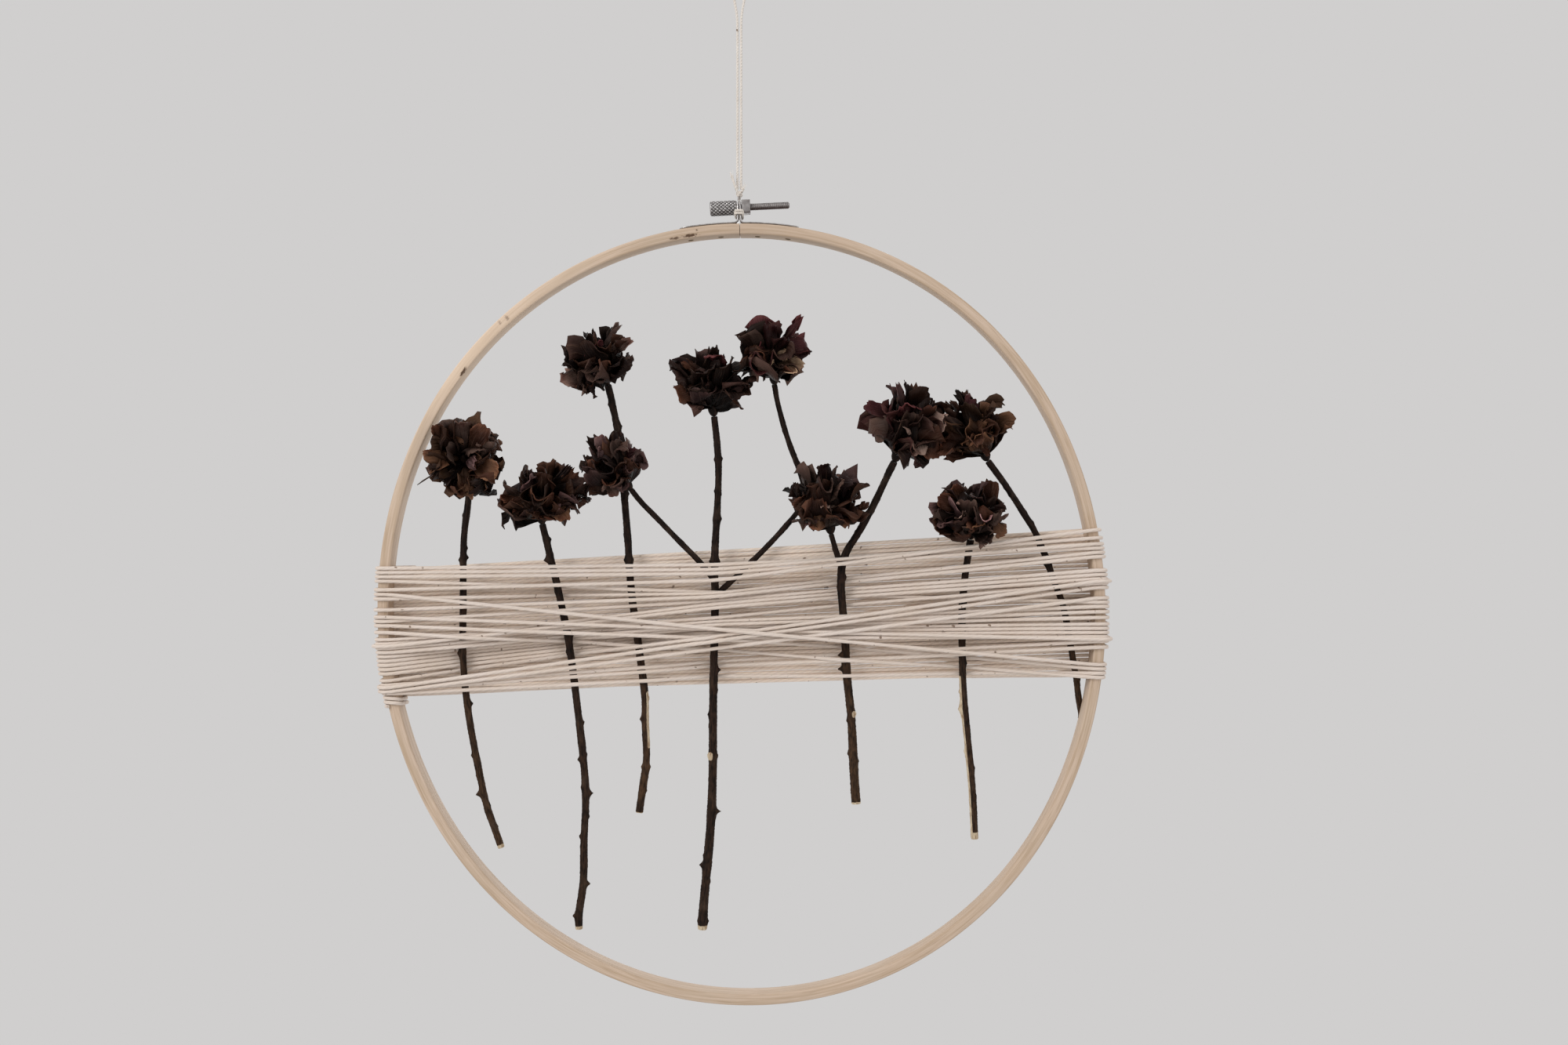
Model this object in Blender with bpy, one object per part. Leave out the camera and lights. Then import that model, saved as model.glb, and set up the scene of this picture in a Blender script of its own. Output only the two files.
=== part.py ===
"""Wooden embroidery hoop wound with cotton yarn, with dried roses on twigs tucked into the yarn.

Sizes are in millimetres from the hoop's centre: +X right, +Z up, -Y towards the viewer.
The world's origin is the inner top of the hanging loop, and an empty carries the hoop below it.
"""
import math

import bmesh
import bpy
import numpy as np
from mathutils import Matrix, Vector

# Every length below is multiplied by this to give metres.
MM = 0.001
# Pieces that touch on the real thing are this far apart.
CLEAR = 0.3

# The loop's top above the hoop's centre, and its offset to the left.
HANG_DROP = 254.0
LOOP_X = -1.5

# The hoop: a bentwood band pressed into an oval that leans left at its top.
RING_RADIUS = 151.3
RING_THICK = 4.4
RING_DEPTH = 9.5
RING_CHAMFER = 0.6
RING_STEPS = 72
OVAL = 5.4
OVAL_LEAN = math.radians(2.9)
PEAR = 0.5
PEAR_TURN = math.radians(25)
SQUARE = 0.4
SPLIT_WIDTH = 0.7

# The clamp: two steel strips with upturned ears, a thumb screw and a square nut.
STRIP_LENGTH = 23.5
STRIP_STEPS = 6
PLATE = 0.7
PLATE_WIDTH = 7.0
EAR_TOP = 166.6
EAR_GAP = 0.7
SCREW_HEIGHT = 163.2
SCREW_LEAN = math.radians(2.75)
SHANK_RADIUS = 1.45
SHANK_END = 20.2
HEAD_RADIUS = 3.0
HEAD_LENGTH = 10.2
KNURLS = 12
NUT_LENGTH = 3.5
NUT_WIDTH = 5.4

# The yarn: one length wound round the hoop.
YARN = 1.6
YARN_PITCH = 1.68
YARN_SIDES = 5
STATIONS = 41
STATION_SPAN = 141.0
MIDDLE_X = -11.0
TIE_TURNS = 2
SLACK = 0.16
SETTLE_TURNS = 400

# A row for each pass over the front, in the order of winding: its height on the left of the hoop,
# over the middle twig and on the right of the hoop.
FRONT_PASSES = (
    (18.2, 19.6, 26.3),
    (16.5, 17.7, 30.4),
    (14.8, 16.1, 28.0),
    (13.1, 8.6, 4.7),
    (9.6, 13.4, 33.6),
    (6.0, 8.2, 24.6),
    (1.6, 7.0, 22.9),
    (-3.0, 5.3, 17.4),
    (-12.0, 4.0, 15.7),
    (-10.3, -1.6, 12.3),
    (-13.7, -3.0, 3.0),
    (-12.85, 2.6, 14.0),
    (-15.4, -4.2, 0.9),
    (-17.1, -5.2, -1.4),
    (-18.8, -6.2, -4.0),
    (-20.5, -7.1, -5.7),
    (-22.2, -8.1, -7.4),
    (-23.9, -9.3, -9.1),
    (-28.4, -19.4, -10.8),
    (-30.1, -21.2, -13.2),
    (-31.8, -25.3, -23.6),
    (-1.3, -5.9, -9.95),
    (-4.7, -9.5, -21.9),
    (-7.4, -14.6, -25.3),
    (-26.7, -8.7, 13.15),
    (-29.25, -10.4, 10.6),
    (-30.95, -13.5, 6.4),
    (7.8, -5.6, -20.2),
)
TIE_HEIGHT = -33.5
TIE_REACH = 1.2

# The twigs: the routes of their middles, and where each lies in front of the front yarn.
TWIG_SIDES = 6


def rim_radius(angle):
    """Outer radius of the hoop in the direction that an angle from +X gives."""
    oval = OVAL * math.cos(2 * (angle - OVAL_LEAN))
    pear = PEAR * math.cos(3 * angle + PEAR_TURN)
    square = SQUARE * math.cos(4 * angle)
    return RING_RADIUS - oval - pear - square


def rim_x(side, height, inset=0.0):
    """Place of the hoop's outer face at a height, or of a face inset in it, on side 1 or -1."""
    rise = math.asin(height / (RING_RADIUS - OVAL - inset))
    angle = rise if side > 0 else math.pi - rise
    return (rim_radius(angle) - inset) * math.cos(angle)


def finish(name, colour, roughness, metallic=0.0):
    """A plain Principled material."""
    material = bpy.data.materials.new(name)
    material.use_nodes = True
    shader = material.node_tree.nodes["Principled BSDF"]
    shader.inputs["Base Color"].default_value = (*colour, 1.0)
    shader.inputs["Roughness"].default_value = roughness
    shader.inputs["Metallic"].default_value = metallic
    return material


def loft(sections):
    """One closed skin over a row of like sections, with a face on each end."""
    skin = bmesh.new()
    rows = [[skin.verts.new(Vector(point) * MM) for point in section] for section in sections]
    for low, high in zip(rows, rows[1:]):
        for i, corner in enumerate(low):
            j = (i + 1) % len(low)
            skin.faces.new((corner, low[j], high[j], high[i]))
    skin.faces.new(reversed(rows[0]))
    skin.faces.new(rows[-1])
    bmesh.ops.recalc_face_normals(skin, faces=skin.faces)
    return skin


def tube(route, radii, sides):
    """A round tube along a route, its sections turned as little as can be from one to the next."""
    points = [Vector(point) for point in route]
    runs = [(b - a).normalized() for a, b in zip(points, points[1:])]
    ways = [runs[0]] + [(a + b).normalized() for a, b in zip(runs, runs[1:])] + [runs[-1]]
    across = ways[0].orthogonal().normalized()
    sections = []
    for point, way, radius in zip(points, ways, radii):
        across = (across - way * across.dot(way)).normalized()
        other = way.cross(across)
        turns = [math.tau * k / sides for k in range(sides)]
        sections.append([point + (across * math.cos(t) + other * math.sin(t)) * radius for t in turns])
    return loft(sections)


def piece(name, skin, material, centre, smooth=40):
    """Turn a skin into a named object that hangs from the hoop's centre."""
    mesh = bpy.data.meshes.new(name)
    skin.to_mesh(mesh)
    skin.free()
    mesh.shade_smooth()
    mesh.set_sharp_from_angle(angle=math.radians(smooth))
    mesh.materials.append(material)
    item = bpy.data.objects.new(name, mesh)
    bpy.context.scene.collection.objects.link(item)
    item.parent = centre
    return item


def combine(item, skin, operation):
    """Cut a skin out of an object, or fuse it to the object."""
    name = f"{item.name}_{operation.lower()}_{len(item.modifiers)}"
    tool = piece(name, skin, item.data.materials[0], item.parent)
    tool.hide_render = True
    tool.display_type = "WIRE"
    step = item.modifiers.new(name, "BOOLEAN")
    step.operation = operation
    step.object = tool


def hoop_ring(centre, wood):
    """The bentwood band, with a saw cut at its top and small chamfers on its four edges."""
    split = math.pi / 2 - LOOP_X / rim_radius(math.pi / 2)
    half_cut = SPLIT_WIDTH / 2 / RING_RADIUS
    half = RING_DEPTH / 2
    edge = RING_CHAMFER
    outline = (
        (0, half - edge),
        (-edge, half),
        (edge - RING_THICK, half),
        (-RING_THICK, half - edge),
        (-RING_THICK, edge - half),
        (edge - RING_THICK, -half),
        (-edge, -half),
        (0, edge - half),
    )
    sections = []
    for step in range(RING_STEPS + 1):
        angle = split + half_cut + (math.tau - 2 * half_cut) * step / RING_STEPS
        way = Vector((math.cos(angle), 0, math.sin(angle)))
        outer = rim_radius(angle)
        sections.append([way * (outer + inset) + Vector((0, depth, 0)) for inset, depth in outline])
    return piece("hoop_ring", loft(sections), wood, centre)


def screw_point(along, around=0.0, radius=0.0):
    """A point of the thumb screw, by its place along the leaning axis and round it."""
    lean = Matrix.Rotation(-SCREW_LEAN, 3, "Y")
    local = Vector((along, radius * math.cos(around), radius * math.sin(around)))
    return lean @ local + Vector((LOOP_X, 0, SCREW_HEIGHT))


def turned(stations, sides, knurl=0.0):
    """A form turned about the screw's axis; knurl draws in every other side of its wide rings."""
    sections = []
    for along, radius in stations:
        ring = []
        for k in range(sides):
            drawn_in = knurl if k % 2 and radius > SHANK_RADIUS + 1 else 0.0
            ring.append(screw_point(along, math.tau * k / sides, radius - drawn_in))
        sections.append(ring)
    return loft(sections)


def bracket(name, side, centre, steel):
    """A strip that lies on the hoop's outer face and turns up into an ear at the split."""
    ear = LOOP_X + side * EAR_GAP / 2
    foot = rim_radius(math.pi / 2) + CLEAR
    reach = STRIP_LENGTH / foot
    inner = []
    outer = []
    for step in range(STRIP_STEPS, -1, -1):
        angle = math.pi / 2 - math.asin(ear / foot) - side * reach * step / STRIP_STEPS
        base = rim_radius(angle) + CLEAR
        inner.append((base * math.cos(angle), base * math.sin(angle)))
        if step:
            top = base + PLATE
            outer.append((top * math.cos(angle), top * math.sin(angle)))
    bend = ear + side * PLATE
    flare = (bend + side * PLATE, foot + PLATE)
    neck = (bend, foot + 2 * PLATE)
    outline = inner + [(ear, EAR_TOP), (bend, EAR_TOP), neck, flare] + outer[::-1]
    half = PLATE_WIDTH / 2
    sections = [[(x, depth, z) for x, z in outline] for depth in (-half, half)]
    item = piece(name, loft(sections), steel, centre)
    hole = [(along - LOOP_X, SHANK_RADIUS + CLEAR) for along in (ear - 3, ear + 3)]
    combine(item, turned(hole, 16), "DIFFERENCE")
    return item


def clamp(centre, steel):
    """Both brackets, the thumb screw with its knurled head, and the square nut."""
    bracket("bracket_left", -1, centre, steel)
    bracket("bracket_right", 1, centre, steel)
    seat = EAR_GAP / 2 + PLATE + CLEAR + HEAD_RADIUS * math.sin(SCREW_LEAN)
    screw = (
        (-seat - HEAD_LENGTH, HEAD_RADIUS - 0.5),
        (-seat - HEAD_LENGTH + 0.5, HEAD_RADIUS),
        (-seat - 0.5, HEAD_RADIUS),
        (-seat, HEAD_RADIUS - 0.5),
        (-seat, SHANK_RADIUS),
        (SHANK_END - 0.5, SHANK_RADIUS),
        (SHANK_END, SHANK_RADIUS - 0.5),
    )
    piece("thumb_screw", turned(screw, 2 * KNURLS, 0.2), steel, centre)
    ends = (seat, seat + NUT_LENGTH)
    corner = NUT_WIDTH / math.sqrt(2)
    square = [[screw_point(along, math.pi * (k / 2 + 0.25), corner) for k in range(4)] for along in ends]
    nut = piece("screw_nut", loft(square), steel, centre)
    bore = [(along, SHANK_RADIUS + CLEAR) for along in (seat - 1, seat + NUT_LENGTH + 1)]
    combine(nut, turned(bore, 16), "DIFFERENCE")


# Each twig: its route from the foot to the flower (x, y, z), and its radius at foot and tip.
TWIGS = {
    "stem_1": (
        (-96.7, -2.5, -93.8), (-100.5, -2.5, -83.2), (-103.0, -2.5, -76.4), (-108.8, -2.5, -47.8),
        (-111.2, -2.5, -31.0), (-112.4, -2.5, -14.9), (-112.0, -2.5, 4.0), (-112.1, -2.5, 18.1),
        (-111.8, -2.5, 32.3), (-110.0, -1.4, 45.8), (-110.0, -0.8, 58.6), (-110.0, -2.0, 60.9),
        (-110.1, -4.6, 61.7),
    ),
    "stem_2": (
        (-65.6, -2.5, -126.4), (-65.9, -2.5, -120.9), (-63.7, -2.5, -108.0), (-63.7, -2.5, -89.9),
        (-62.7, -2.5, -73.1), (-64.0, -2.5, -56.1), (-66.2, -2.5, -38.2), (-69.2, -2.5, -13.7),
        (-71.9, -2.5, -0.1), (-75.1, -2.5, 14.6), (-78.0, -3.5, 27.0), (-79.7, -6.4, 35.8),
    ),
    "stem_3": (
        (-41.5, -2.5, -79.7), (-40.1, -2.5, -69.6), (-38.3, -2.5, -58.5), (-39.2, -2.5, -42.8),
        (-39.0, -2.5, -33.8), (-40.9, -2.5, -19.2), (-44.6, -2.5, 7.7), (-45.8, -2.0, 21.2),
        (-46.0, -1.0, 28.0), (-48.3, 2.0, 50.8), (-50.3, 2.0, 71.6), (-52.4, -2.0, 85.0),
        (-53.9, -4.6, 91.4),
    ),
    "stem_4": (
        (-16.2, -2.5, -126.5), (-15.6, -2.5, -114.4), (-13.1, -2.5, -89.3), (-12.0, -2.5, -67.3),
        (-12.0, -2.5, -40.7), (-11.5, -2.5, -14.2), (-11.0, -2.5, 8.0), (-11.5, -2.5, 20.9),
        (-10.2, -2.5, 41.7), (-9.6, -2.5, 57.4), (-10.2, -3.0, 68.0), (-11.4, -4.8, 78.8),
    ),
    "stem_5": (
        (45.4, -2.5, -76.2), (44.5, -2.5, -63.5), (43.5, -2.5, -40.2), (41.8, -2.5, -27.4),
        (41.1, -2.5, -11.3), (39.8, -2.5, 4.7), (39.1, -2.5, 14.0), (40.2, -2.5, 23.1),
        (47.0, -2.0, 33.3), (53.2, -1.2, 44.8), (57.6, -2.0, 54.5), (60.6, -4.4, 60.8),
    ),
    "stem_6": (
        (92.9, -2.5, -90.3), (92.0, -2.5, -70.6), (90.4, -2.5, -54.1), (88.3, -2.5, -31.9),
        (87.9, -2.5, -18.7), (87.7, -2.5, 2.7), (89.1, -2.5, 15.9), (91.1, -4.2, 29.6),
    ),
    "stem_7": (
        (138.8, 6.8, -49.5), (137.2, 6.6, -40.0), (135.8, 5.4, -33.0), (134.2, 1.0, -25.5),
        (131.3, -2.0, -12.1), (128.5, -2.5, 3.6), (125.0, -2.5, 12.1), (118.7, -2.5, 30.4),
        (111.8, -2.5, 41.4), (105.7, -2.5, 51.0), (98.0, -4.2, 61.0),
    ),
}
SIDE_SHOOTS = {
    "stem_4": (
        (
            (-11.6, -2.5, 13.5), (-16.8, -2.5, 20.4), (-25.3, -2.8, 28.8), (-34.5, -4.0, 38.5),
            (-40.3, -6.4, 44.4), (-44.2, -8.7, 49.6),
        ),
        (
            (-11.0, -2.5, 7.0), (-3.4, -2.0, 14.1), (6.8, -0.5, 23.8), (16.8, 1.8, 34.3),
            (26.0, 3.2, 45.8), (22.8, 3.0, 57.8), (18.1, 1.4, 69.4), (13.8, -2.0, 84.5),
            (12.7, -4.6, 91.6),
        ),
    ),
    "stem_5": (
        (
            (39.3, -2.5, 19.0), (37.5, -3.2, 24.4), (35.3, -5.4, 31.8),
        ),
    ),
}
# Foot and tip radius of each twig, and of its side shoots.
TWIG_RADII = {
    "stem_1": (1.45, 1.3),
    "stem_2": (1.55, 1.4),
    "stem_3": (1.55, 1.4),
    "stem_4": (1.9, 1.35),
    "stem_5": (1.8, 1.4),
    "stem_6": (1.5, 1.45),
    "stem_7": (1.3, 1.3),
}
SHOOT_RADIUS = 1.05
# Stretches, low to high, where a twig lies in front of the front yarn.
TWIG_IN_FRONT = {
    "stem_1": ((-23.4, -13.1),),
    "stem_2": ((5.0, 11.0), (-16.9, -7.5)),
    "stem_3": ((-12.5, -8.4),),
    "stem_4": ((-40.0, -14.4),),
    "stem_5": ((2.8, 17.6), (-16.6, -13.4)),
    "stem_6": ((-40.0, -17.2),),
    "stem_7": (),
}


def twigs(centre, bark):
    """The seven twigs, tapered from foot to tip, two of them with side shoots."""
    for name, route in TWIGS.items():
        foot, tip = TWIG_RADII[name]
        radii = np.linspace(foot, tip, len(route))
        item = piece(name, tube(route, radii, TWIG_SIDES), bark, centre)
        for shoot in SIDE_SHOOTS.get(name, ()):
            combine(item, tube(shoot, [SHOOT_RADIUS] * len(shoot), TWIG_SIDES), "UNION")


def rim_levels(heights):
    """How far each turn stands off the wood, lying in the dips between the turns before it."""
    levels = []
    for i, height in enumerate(heights):
        lifts = [0.0]
        for before, level in zip(heights[:i], levels):
            apart = abs(height - before)
            if apart < YARN_PITCH:
                lifts.append(level + math.sqrt(YARN_PITCH**2 - apart**2))
        levels.append(max(lifts))
    return np.array(levels)


def lie_over(heights, least, most):
    """For each two passes at each station, 1 where the first is outermost, or -1 where the second is.

    The pass wound later lies over the other one, except along a stretch where they are close and a
    twig parts them the other way.
    """
    count, stations = heights.shape
    over = np.ones((count, count, stations))
    for i in range(1, count):
        for j in range(i):
            close = np.abs(heights[i] - heights[j]) < YARN_PITCH
            starts = np.flatnonzero(np.diff(close.astype(int))) + 1
            for stretch in np.split(np.arange(stations), starts):
                if close[stretch[0]] and (least[j, stretch] > most[i, stretch]).any():
                    over[i, j, stretch] = -1
    return over


def settle(heights, left, right, least, most):
    """Draw the passes of one layer tight, each lying on those that it crosses.

    heights holds each pass's height at each station, left and right the fixed depths of its ends,
    least and most the depths that the twigs allow. All depths count outwards from the hoop's middle.
    """
    depth = np.linspace(left, right, heights.shape[1], axis=1)
    over = lie_over(heights, least, most)
    for turn in range(SETTLE_TURNS):
        if turn < 0.9 * SETTLE_TURNS:
            depth[:, 1:-1] = (depth[:, :-2] + 2 * depth[:, 1:-1] + depth[:, 2:]) / 4
        for i in range(1, len(depth)):
            apart = heights[:i] - heights[i]
            need = np.sqrt(np.maximum(YARN_PITCH**2 - apart**2, 0))
            lack = need - over[i, :i] * (depth[i] - depth[:i])
            push = over[i, :i] * np.where(need > 0, lack, 0).clip(0) / 2
            depth[:i] -= push
            depth[i] += push.max(axis=0).clip(0) + push.min(axis=0).clip(None, 0)
        depth = depth.clip(least, most)
        depth[:, 0] = left
        depth[:, -1] = right
    return depth


def twig_limits(places, heights):
    """The least and the most depth of each front pass at each station, where it crosses a twig."""
    least = np.full(heights.shape, -50.0)
    most = np.full(heights.shape, 50.0)
    for name, route in TWIGS.items():
        x, y, z = np.array(sorted(route, key=lambda point: point[2])).T
        radius = max(TWIG_RADII[name]) + YARN / 2 + CLEAR
        for i, row in enumerate(heights):
            offset = places - np.interp(row, z, x)
            right = int(np.argmax(offset > 0))
            height = float(np.mean(row[right - 1:right + 1]))
            front = -float(np.interp(height, z, y))
            hidden = any(low < height < high for low, high in TWIG_IN_FRONT[name])
            for station in (right - 1, right):
                if hidden:
                    most[i, station] = front - radius
                else:
                    least[i, station] = front + radius
    return least, most


def yarn_layers():
    """Stations across the hoop, and the height and depth of each front and back pass at them."""
    left, middle, right = np.array(FRONT_PASSES).T
    places = np.linspace(-STATION_SPAN, STATION_SPAN, STATIONS)
    front = np.array([np.interp(places, (-STATION_SPAN, MIDDLE_X, STATION_SPAN), row) for row in FRONT_PASSES])
    returns = np.append(left[1:], TIE_HEIGHT)
    back = np.array([np.interp(places, (-STATION_SPAN, STATION_SPAN), ends) for ends in zip(returns, right)])
    seat = RING_DEPTH / 2 + CLEAR + YARN / 2
    left_levels = seat + rim_levels(np.append(left, TIE_HEIGHT))
    right_levels = seat + rim_levels(right)
    least, most = twig_limits(places, front)
    front_depth = settle(front, left_levels[:-1], right_levels, least, most)
    free = np.full(back.shape, -50.0), np.full(back.shape, 50.0)
    back_depth = settle(back, left_levels[1:], right_levels, *free)
    return places, front, front_depth, back, back_depth


def rim_turn(side, height, depth):
    """Four points that carry the yarn from the front round the hoop's outer face to the back."""
    outer = rim_x(side, height)
    seat = RING_DEPTH / 2 + CLEAR + YARN / 2
    level = depth - seat
    corner = 0.25 * RING_CHAMFER
    lift = (math.sqrt(2) - 1) * level
    near = (outer + side * (lift - corner), -depth, height)
    wall = outer + side * (CLEAR + YARN / 2 + level)
    turn = seat - 1.25 + lift
    return [near, (wall, -turn, height), (wall, turn, height), (near[0], depth, height)]


def thin_out(points):
    """Leave out the points that a straight run between their neighbours would pass within a hair."""
    kept = [0]
    while kept[-1] < len(points) - 1:
        start = kept[-1]
        end = start + 1
        while end + 1 < len(points):
            share = np.linspace(0, 1, end + 2 - start)[:, None]
            chord = points[start] * (1 - share) + points[end + 1] * share
            if np.abs(points[start:end + 2] - chord).max() > SLACK:
                break
            end += 1
        kept.append(end)
    return [tuple(points[i]) for i in kept]


def yarn_route():
    """The whole length of yarn: every pass over the front, round the rim, behind, and the tie."""
    places, front, front_depth, back, back_depth = yarn_layers()
    first = rim_turn(-1, front[0][0], front_depth[0][0])[::-1]
    route = [(first[0][0] + 12, first[0][1], first[0][2])] + first
    for i in range(len(front)):
        over = np.stack((places, -front_depth[i], front[i]), axis=1)
        behind = np.stack((places, back_depth[i], back[i]), axis=1)[::-1]
        route += thin_out(over)
        route += rim_turn(1, front[i][-1], front_depth[i][-1])
        route += thin_out(behind)
        route += rim_turn(-1, back[i][0], back_depth[i][0])[::-1]
    return route + tie_turns()


def tie_turns():
    """Tight turns round the left of the hoop, below the winding, that tie the yarn off."""
    points = []
    seat = RING_DEPTH / 2 + CLEAR + YARN / 2
    rest = seat - 1.25
    inside = ((0.15, -seat), (TIE_REACH, -rest), (TIE_REACH, rest), (0.15, seat))
    for turn in range(TIE_TURNS):
        height = TIE_HEIGHT - turn * YARN_PITCH
        for k, (reach, depth) in enumerate(inside):
            level = height - (k + 1) / 5 * YARN_PITCH
            points.append((rim_x(-1, level, RING_THICK) + reach, depth, level))
        points += rim_turn(-1, height - YARN_PITCH, seat)[::-1]
    return points


def yarn_winding(centre, cotton):
    """The winding as one tube, from its first turn on the left to the end of the tie."""
    route = yarn_route()
    radii = [YARN / 2] * len(route)
    return piece("yarn_winding", tube(route, radii, YARN_SIDES), cotton, centre, 80)


# The hanging string and its knot.
STRING = 1.1
STRING_PART = 0.75
LOOP_RADIUS = 2.6
KNOT_HEIGHT = 168.6
KNOT_RADIUS = 1.7
WRAP_HEIGHT = 159.0
TAIL_LONG = ((-1.6, -0.6, 168.9), (-2.6, -2.0, 170.8), (-3.9, -2.2, 175.0), (-5.0, -1.8, 178.2))
TAIL_SHORT = ((-1.4, -0.4, 168.6), (-0.2, -1.9, 169.4), (0.6, -2.6, 171.4))


def string_route():
    """Up from the knot, round the loop and down again, a little apart all the way."""
    top = HANG_DROP + STRING / 2 - LOOP_RADIUS
    foot = KNOT_HEIGHT + KNOT_RADIUS + CLEAR
    rise = []
    for height in np.linspace(foot, top - 22, 9):
        rise.append((LOOP_X - STRING_PART, 0, height))
    for share in (0.25, 0.5, 0.75):
        spread = STRING_PART + (LOOP_RADIUS - STRING_PART) * (3 - 2 * share) * share**2
        rise.append((LOOP_X - spread, 0, top - 22 * (1 - share)))
    turn = []
    for angle in range(0, 181, 18):
        way = math.radians(180 - angle)
        turn.append((LOOP_X + LOOP_RADIUS * math.cos(way), 0, top + LOOP_RADIUS * math.sin(way)))
    fall = [(2 * LOOP_X - x, y, z) for x, y, z in reversed(rise)]
    return rise + turn + fall


def hanging_string(centre, cotton):
    """A doubled cotton string."""
    curve = bpy.data.curves.new("hanging_string", "CURVE")
    curve.dimensions = "3D"
    curve.bevel_depth = STRING / 2 * MM
    curve.bevel_resolution = 2
    curve.use_fill_caps = True
    route = string_route()
    spline = curve.splines.new("POLY")
    spline.points.add(len(route) - 1)
    for point, place in zip(spline.points, route):
        point.co = (*(Vector(place) * MM), 1.0)
    curve.materials.append(cotton)
    item = bpy.data.objects.new("hanging_string", curve)
    bpy.context.scene.collection.objects.link(item)
    item.parent = centre
    return item


def hanging_knot(centre, cotton):
    """The string's knot above the ears, the wrap round their neck below the screw, and two tails."""
    lump = bmesh.new()
    bmesh.ops.create_icosphere(lump, subdivisions=2, radius=KNOT_RADIUS * MM)
    bmesh.ops.translate(lump, verts=lump.verts, vec=Vector((LOOP_X, 0, KNOT_HEIGHT)) * MM)
    item = piece("hanging_knot", lump, cotton, centre)
    half_x = EAR_GAP / 2 + PLATE + CLEAR + STRING / 2
    half_y = PLATE_WIDTH / 2 + CLEAR + STRING / 2
    wrap = [(LOOP_X, 0.2, KNOT_HEIGHT), (LOOP_X, half_y - 0.5, EAR_TOP + 1.1)]
    wrap += [(LOOP_X, half_y + 0.2, EAR_TOP - 1.0), (LOOP_X, half_y + 0.4, WRAP_HEIGHT + 2)]
    for turn in range(13):
        angle = math.radians(90 + 30 * turn)
        x = max(-1, min(1, 1.4 * math.cos(angle))) * half_x
        y = max(-1, min(1, 1.15 * math.sin(angle))) * half_y
        wrap.append((LOOP_X + x, y, WRAP_HEIGHT - 0.02 * turn))
    skins = [tube(wrap, [STRING / 2] * len(wrap), 6)]
    for tail in (TAIL_LONG, TAIL_SHORT):
        skins.append(tube(tail, [STRING / 2] * len(tail), 6))
    for skin in skins:
        combine(item, skin, "UNION")
    return item


# The dried roses: the twig that each sits on, and which of its tips (0 for the main one), the way
# the head faces, its height along that way, and the reach of each outer petal round the head.
ROSES = {
    "flower_1": ("stem_1", 0, (0.02, -1.0, 0.08), 15.0, (16, 15, 17, 18, 16, 15, 16, 18, 16)),
    "flower_2": ("stem_2", 0, (0.06, -0.5, 0.85), 23.0, (19, 15, 13, 14, 19, 16, 14, 13, 16)),
    "flower_3": ("stem_4", 1, (-0.55, -0.4, 0.72), 22.0, (14, 14, 14, 13, 15, 15, 13, 14, 13)),
    "flower_4": ("stem_3", 0, (-0.34, -0.38, 0.86), 26.0, (16, 15, 16, 15, 17, 16, 15, 16, 15)),
    "flower_5": ("stem_4", 0, (-0.1, -0.38, 0.9), 25.0, (15, 15, 14, 15, 15, 15, 14, 15, 15)),
    "flower_6": ("stem_4", 2, (0.03, -0.38, 0.9), 28.0, (16, 15, 15, 15, 16, 16, 15, 15, 16)),
    "flower_7": ("stem_5", 1, (-0.08, -0.38, 0.9), 28.0, (15, 15, 14, 15, 16, 15, 14, 15, 15)),
    "flower_8": ("stem_5", 0, (0.25, -0.42, 0.84), 31.0, (17, 16, 15, 17, 21, 18, 16, 17, 17)),
    "flower_9": ("stem_7", 0, (-0.33, -0.4, 0.84), 26.0, (16, 16, 15, 14, 13, 14, 15, 15, 16)),
    "flower_10": ("stem_6", 0, (0.02, -0.45, 0.87), 26.0, (17, 16, 15, 16, 16, 15, 15, 16, 18)),
}
# The head's profile, from its foot out to the petal tips and in to its heart: share of the reach,
# share of the height, and how far the clefts between petals draw in.
ROSE_PROFILE = (
    (0.10, 0.00, 0.0),
    (0.34, 0.12, 0.0),
    (0.82, 0.34, 0.12),
    (1.00, 0.56, 0.26),
    (0.80, 0.62, 0.10),
    (0.74, 0.84, 0.16),
    (0.48, 0.74, 0.0),
    (0.36, 1.00, 0.2),
    (0.08, 0.88, 0.0),
)


def rose_foot(twig, tip, axis):
    """The foot of a head that sits on a twig's tip, just clear of it when its disc leans."""
    route = SIDE_SHOOTS[twig][tip - 1] if tip else TWIGS[twig]
    end = Vector(route[-1])
    way = (end - Vector(route[-2])).normalized()
    return end + way * (CLEAR + TWIG_RADII[twig][1] * math.sin(way.angle(axis)))


def rose(name, twig, tip, facing, height, reaches, centre, petal):
    """A dried double rose: a calyx, a ring of outer petals, an inner ring and a bud."""
    axis = Vector(facing).normalized()
    foot = rose_foot(twig, tip, axis)
    across = Vector((0, 0, 1)).cross(axis)
    if across.length < 0.2:
        across = Vector((1, 0, 0))
    across.normalize()
    up = axis.cross(across)
    count = 2 * len(reaches)
    sections = []
    for share, rise, cleft in ROSE_PROFILE:
        ring = []
        for k in range(count):
            angle = math.tau * k / count
            reach = (reaches[k // 2] + reaches[(k + 1) // 2 % len(reaches)]) / 2
            drawn = share * (1 - cleft) if k % 2 else share
            out = across * math.cos(angle) + up * math.sin(angle)
            ring.append(foot + axis * rise * height + out * drawn * reach)
        sections.append(ring)
    return piece(name, loft(sections), petal, centre, 60)


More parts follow.
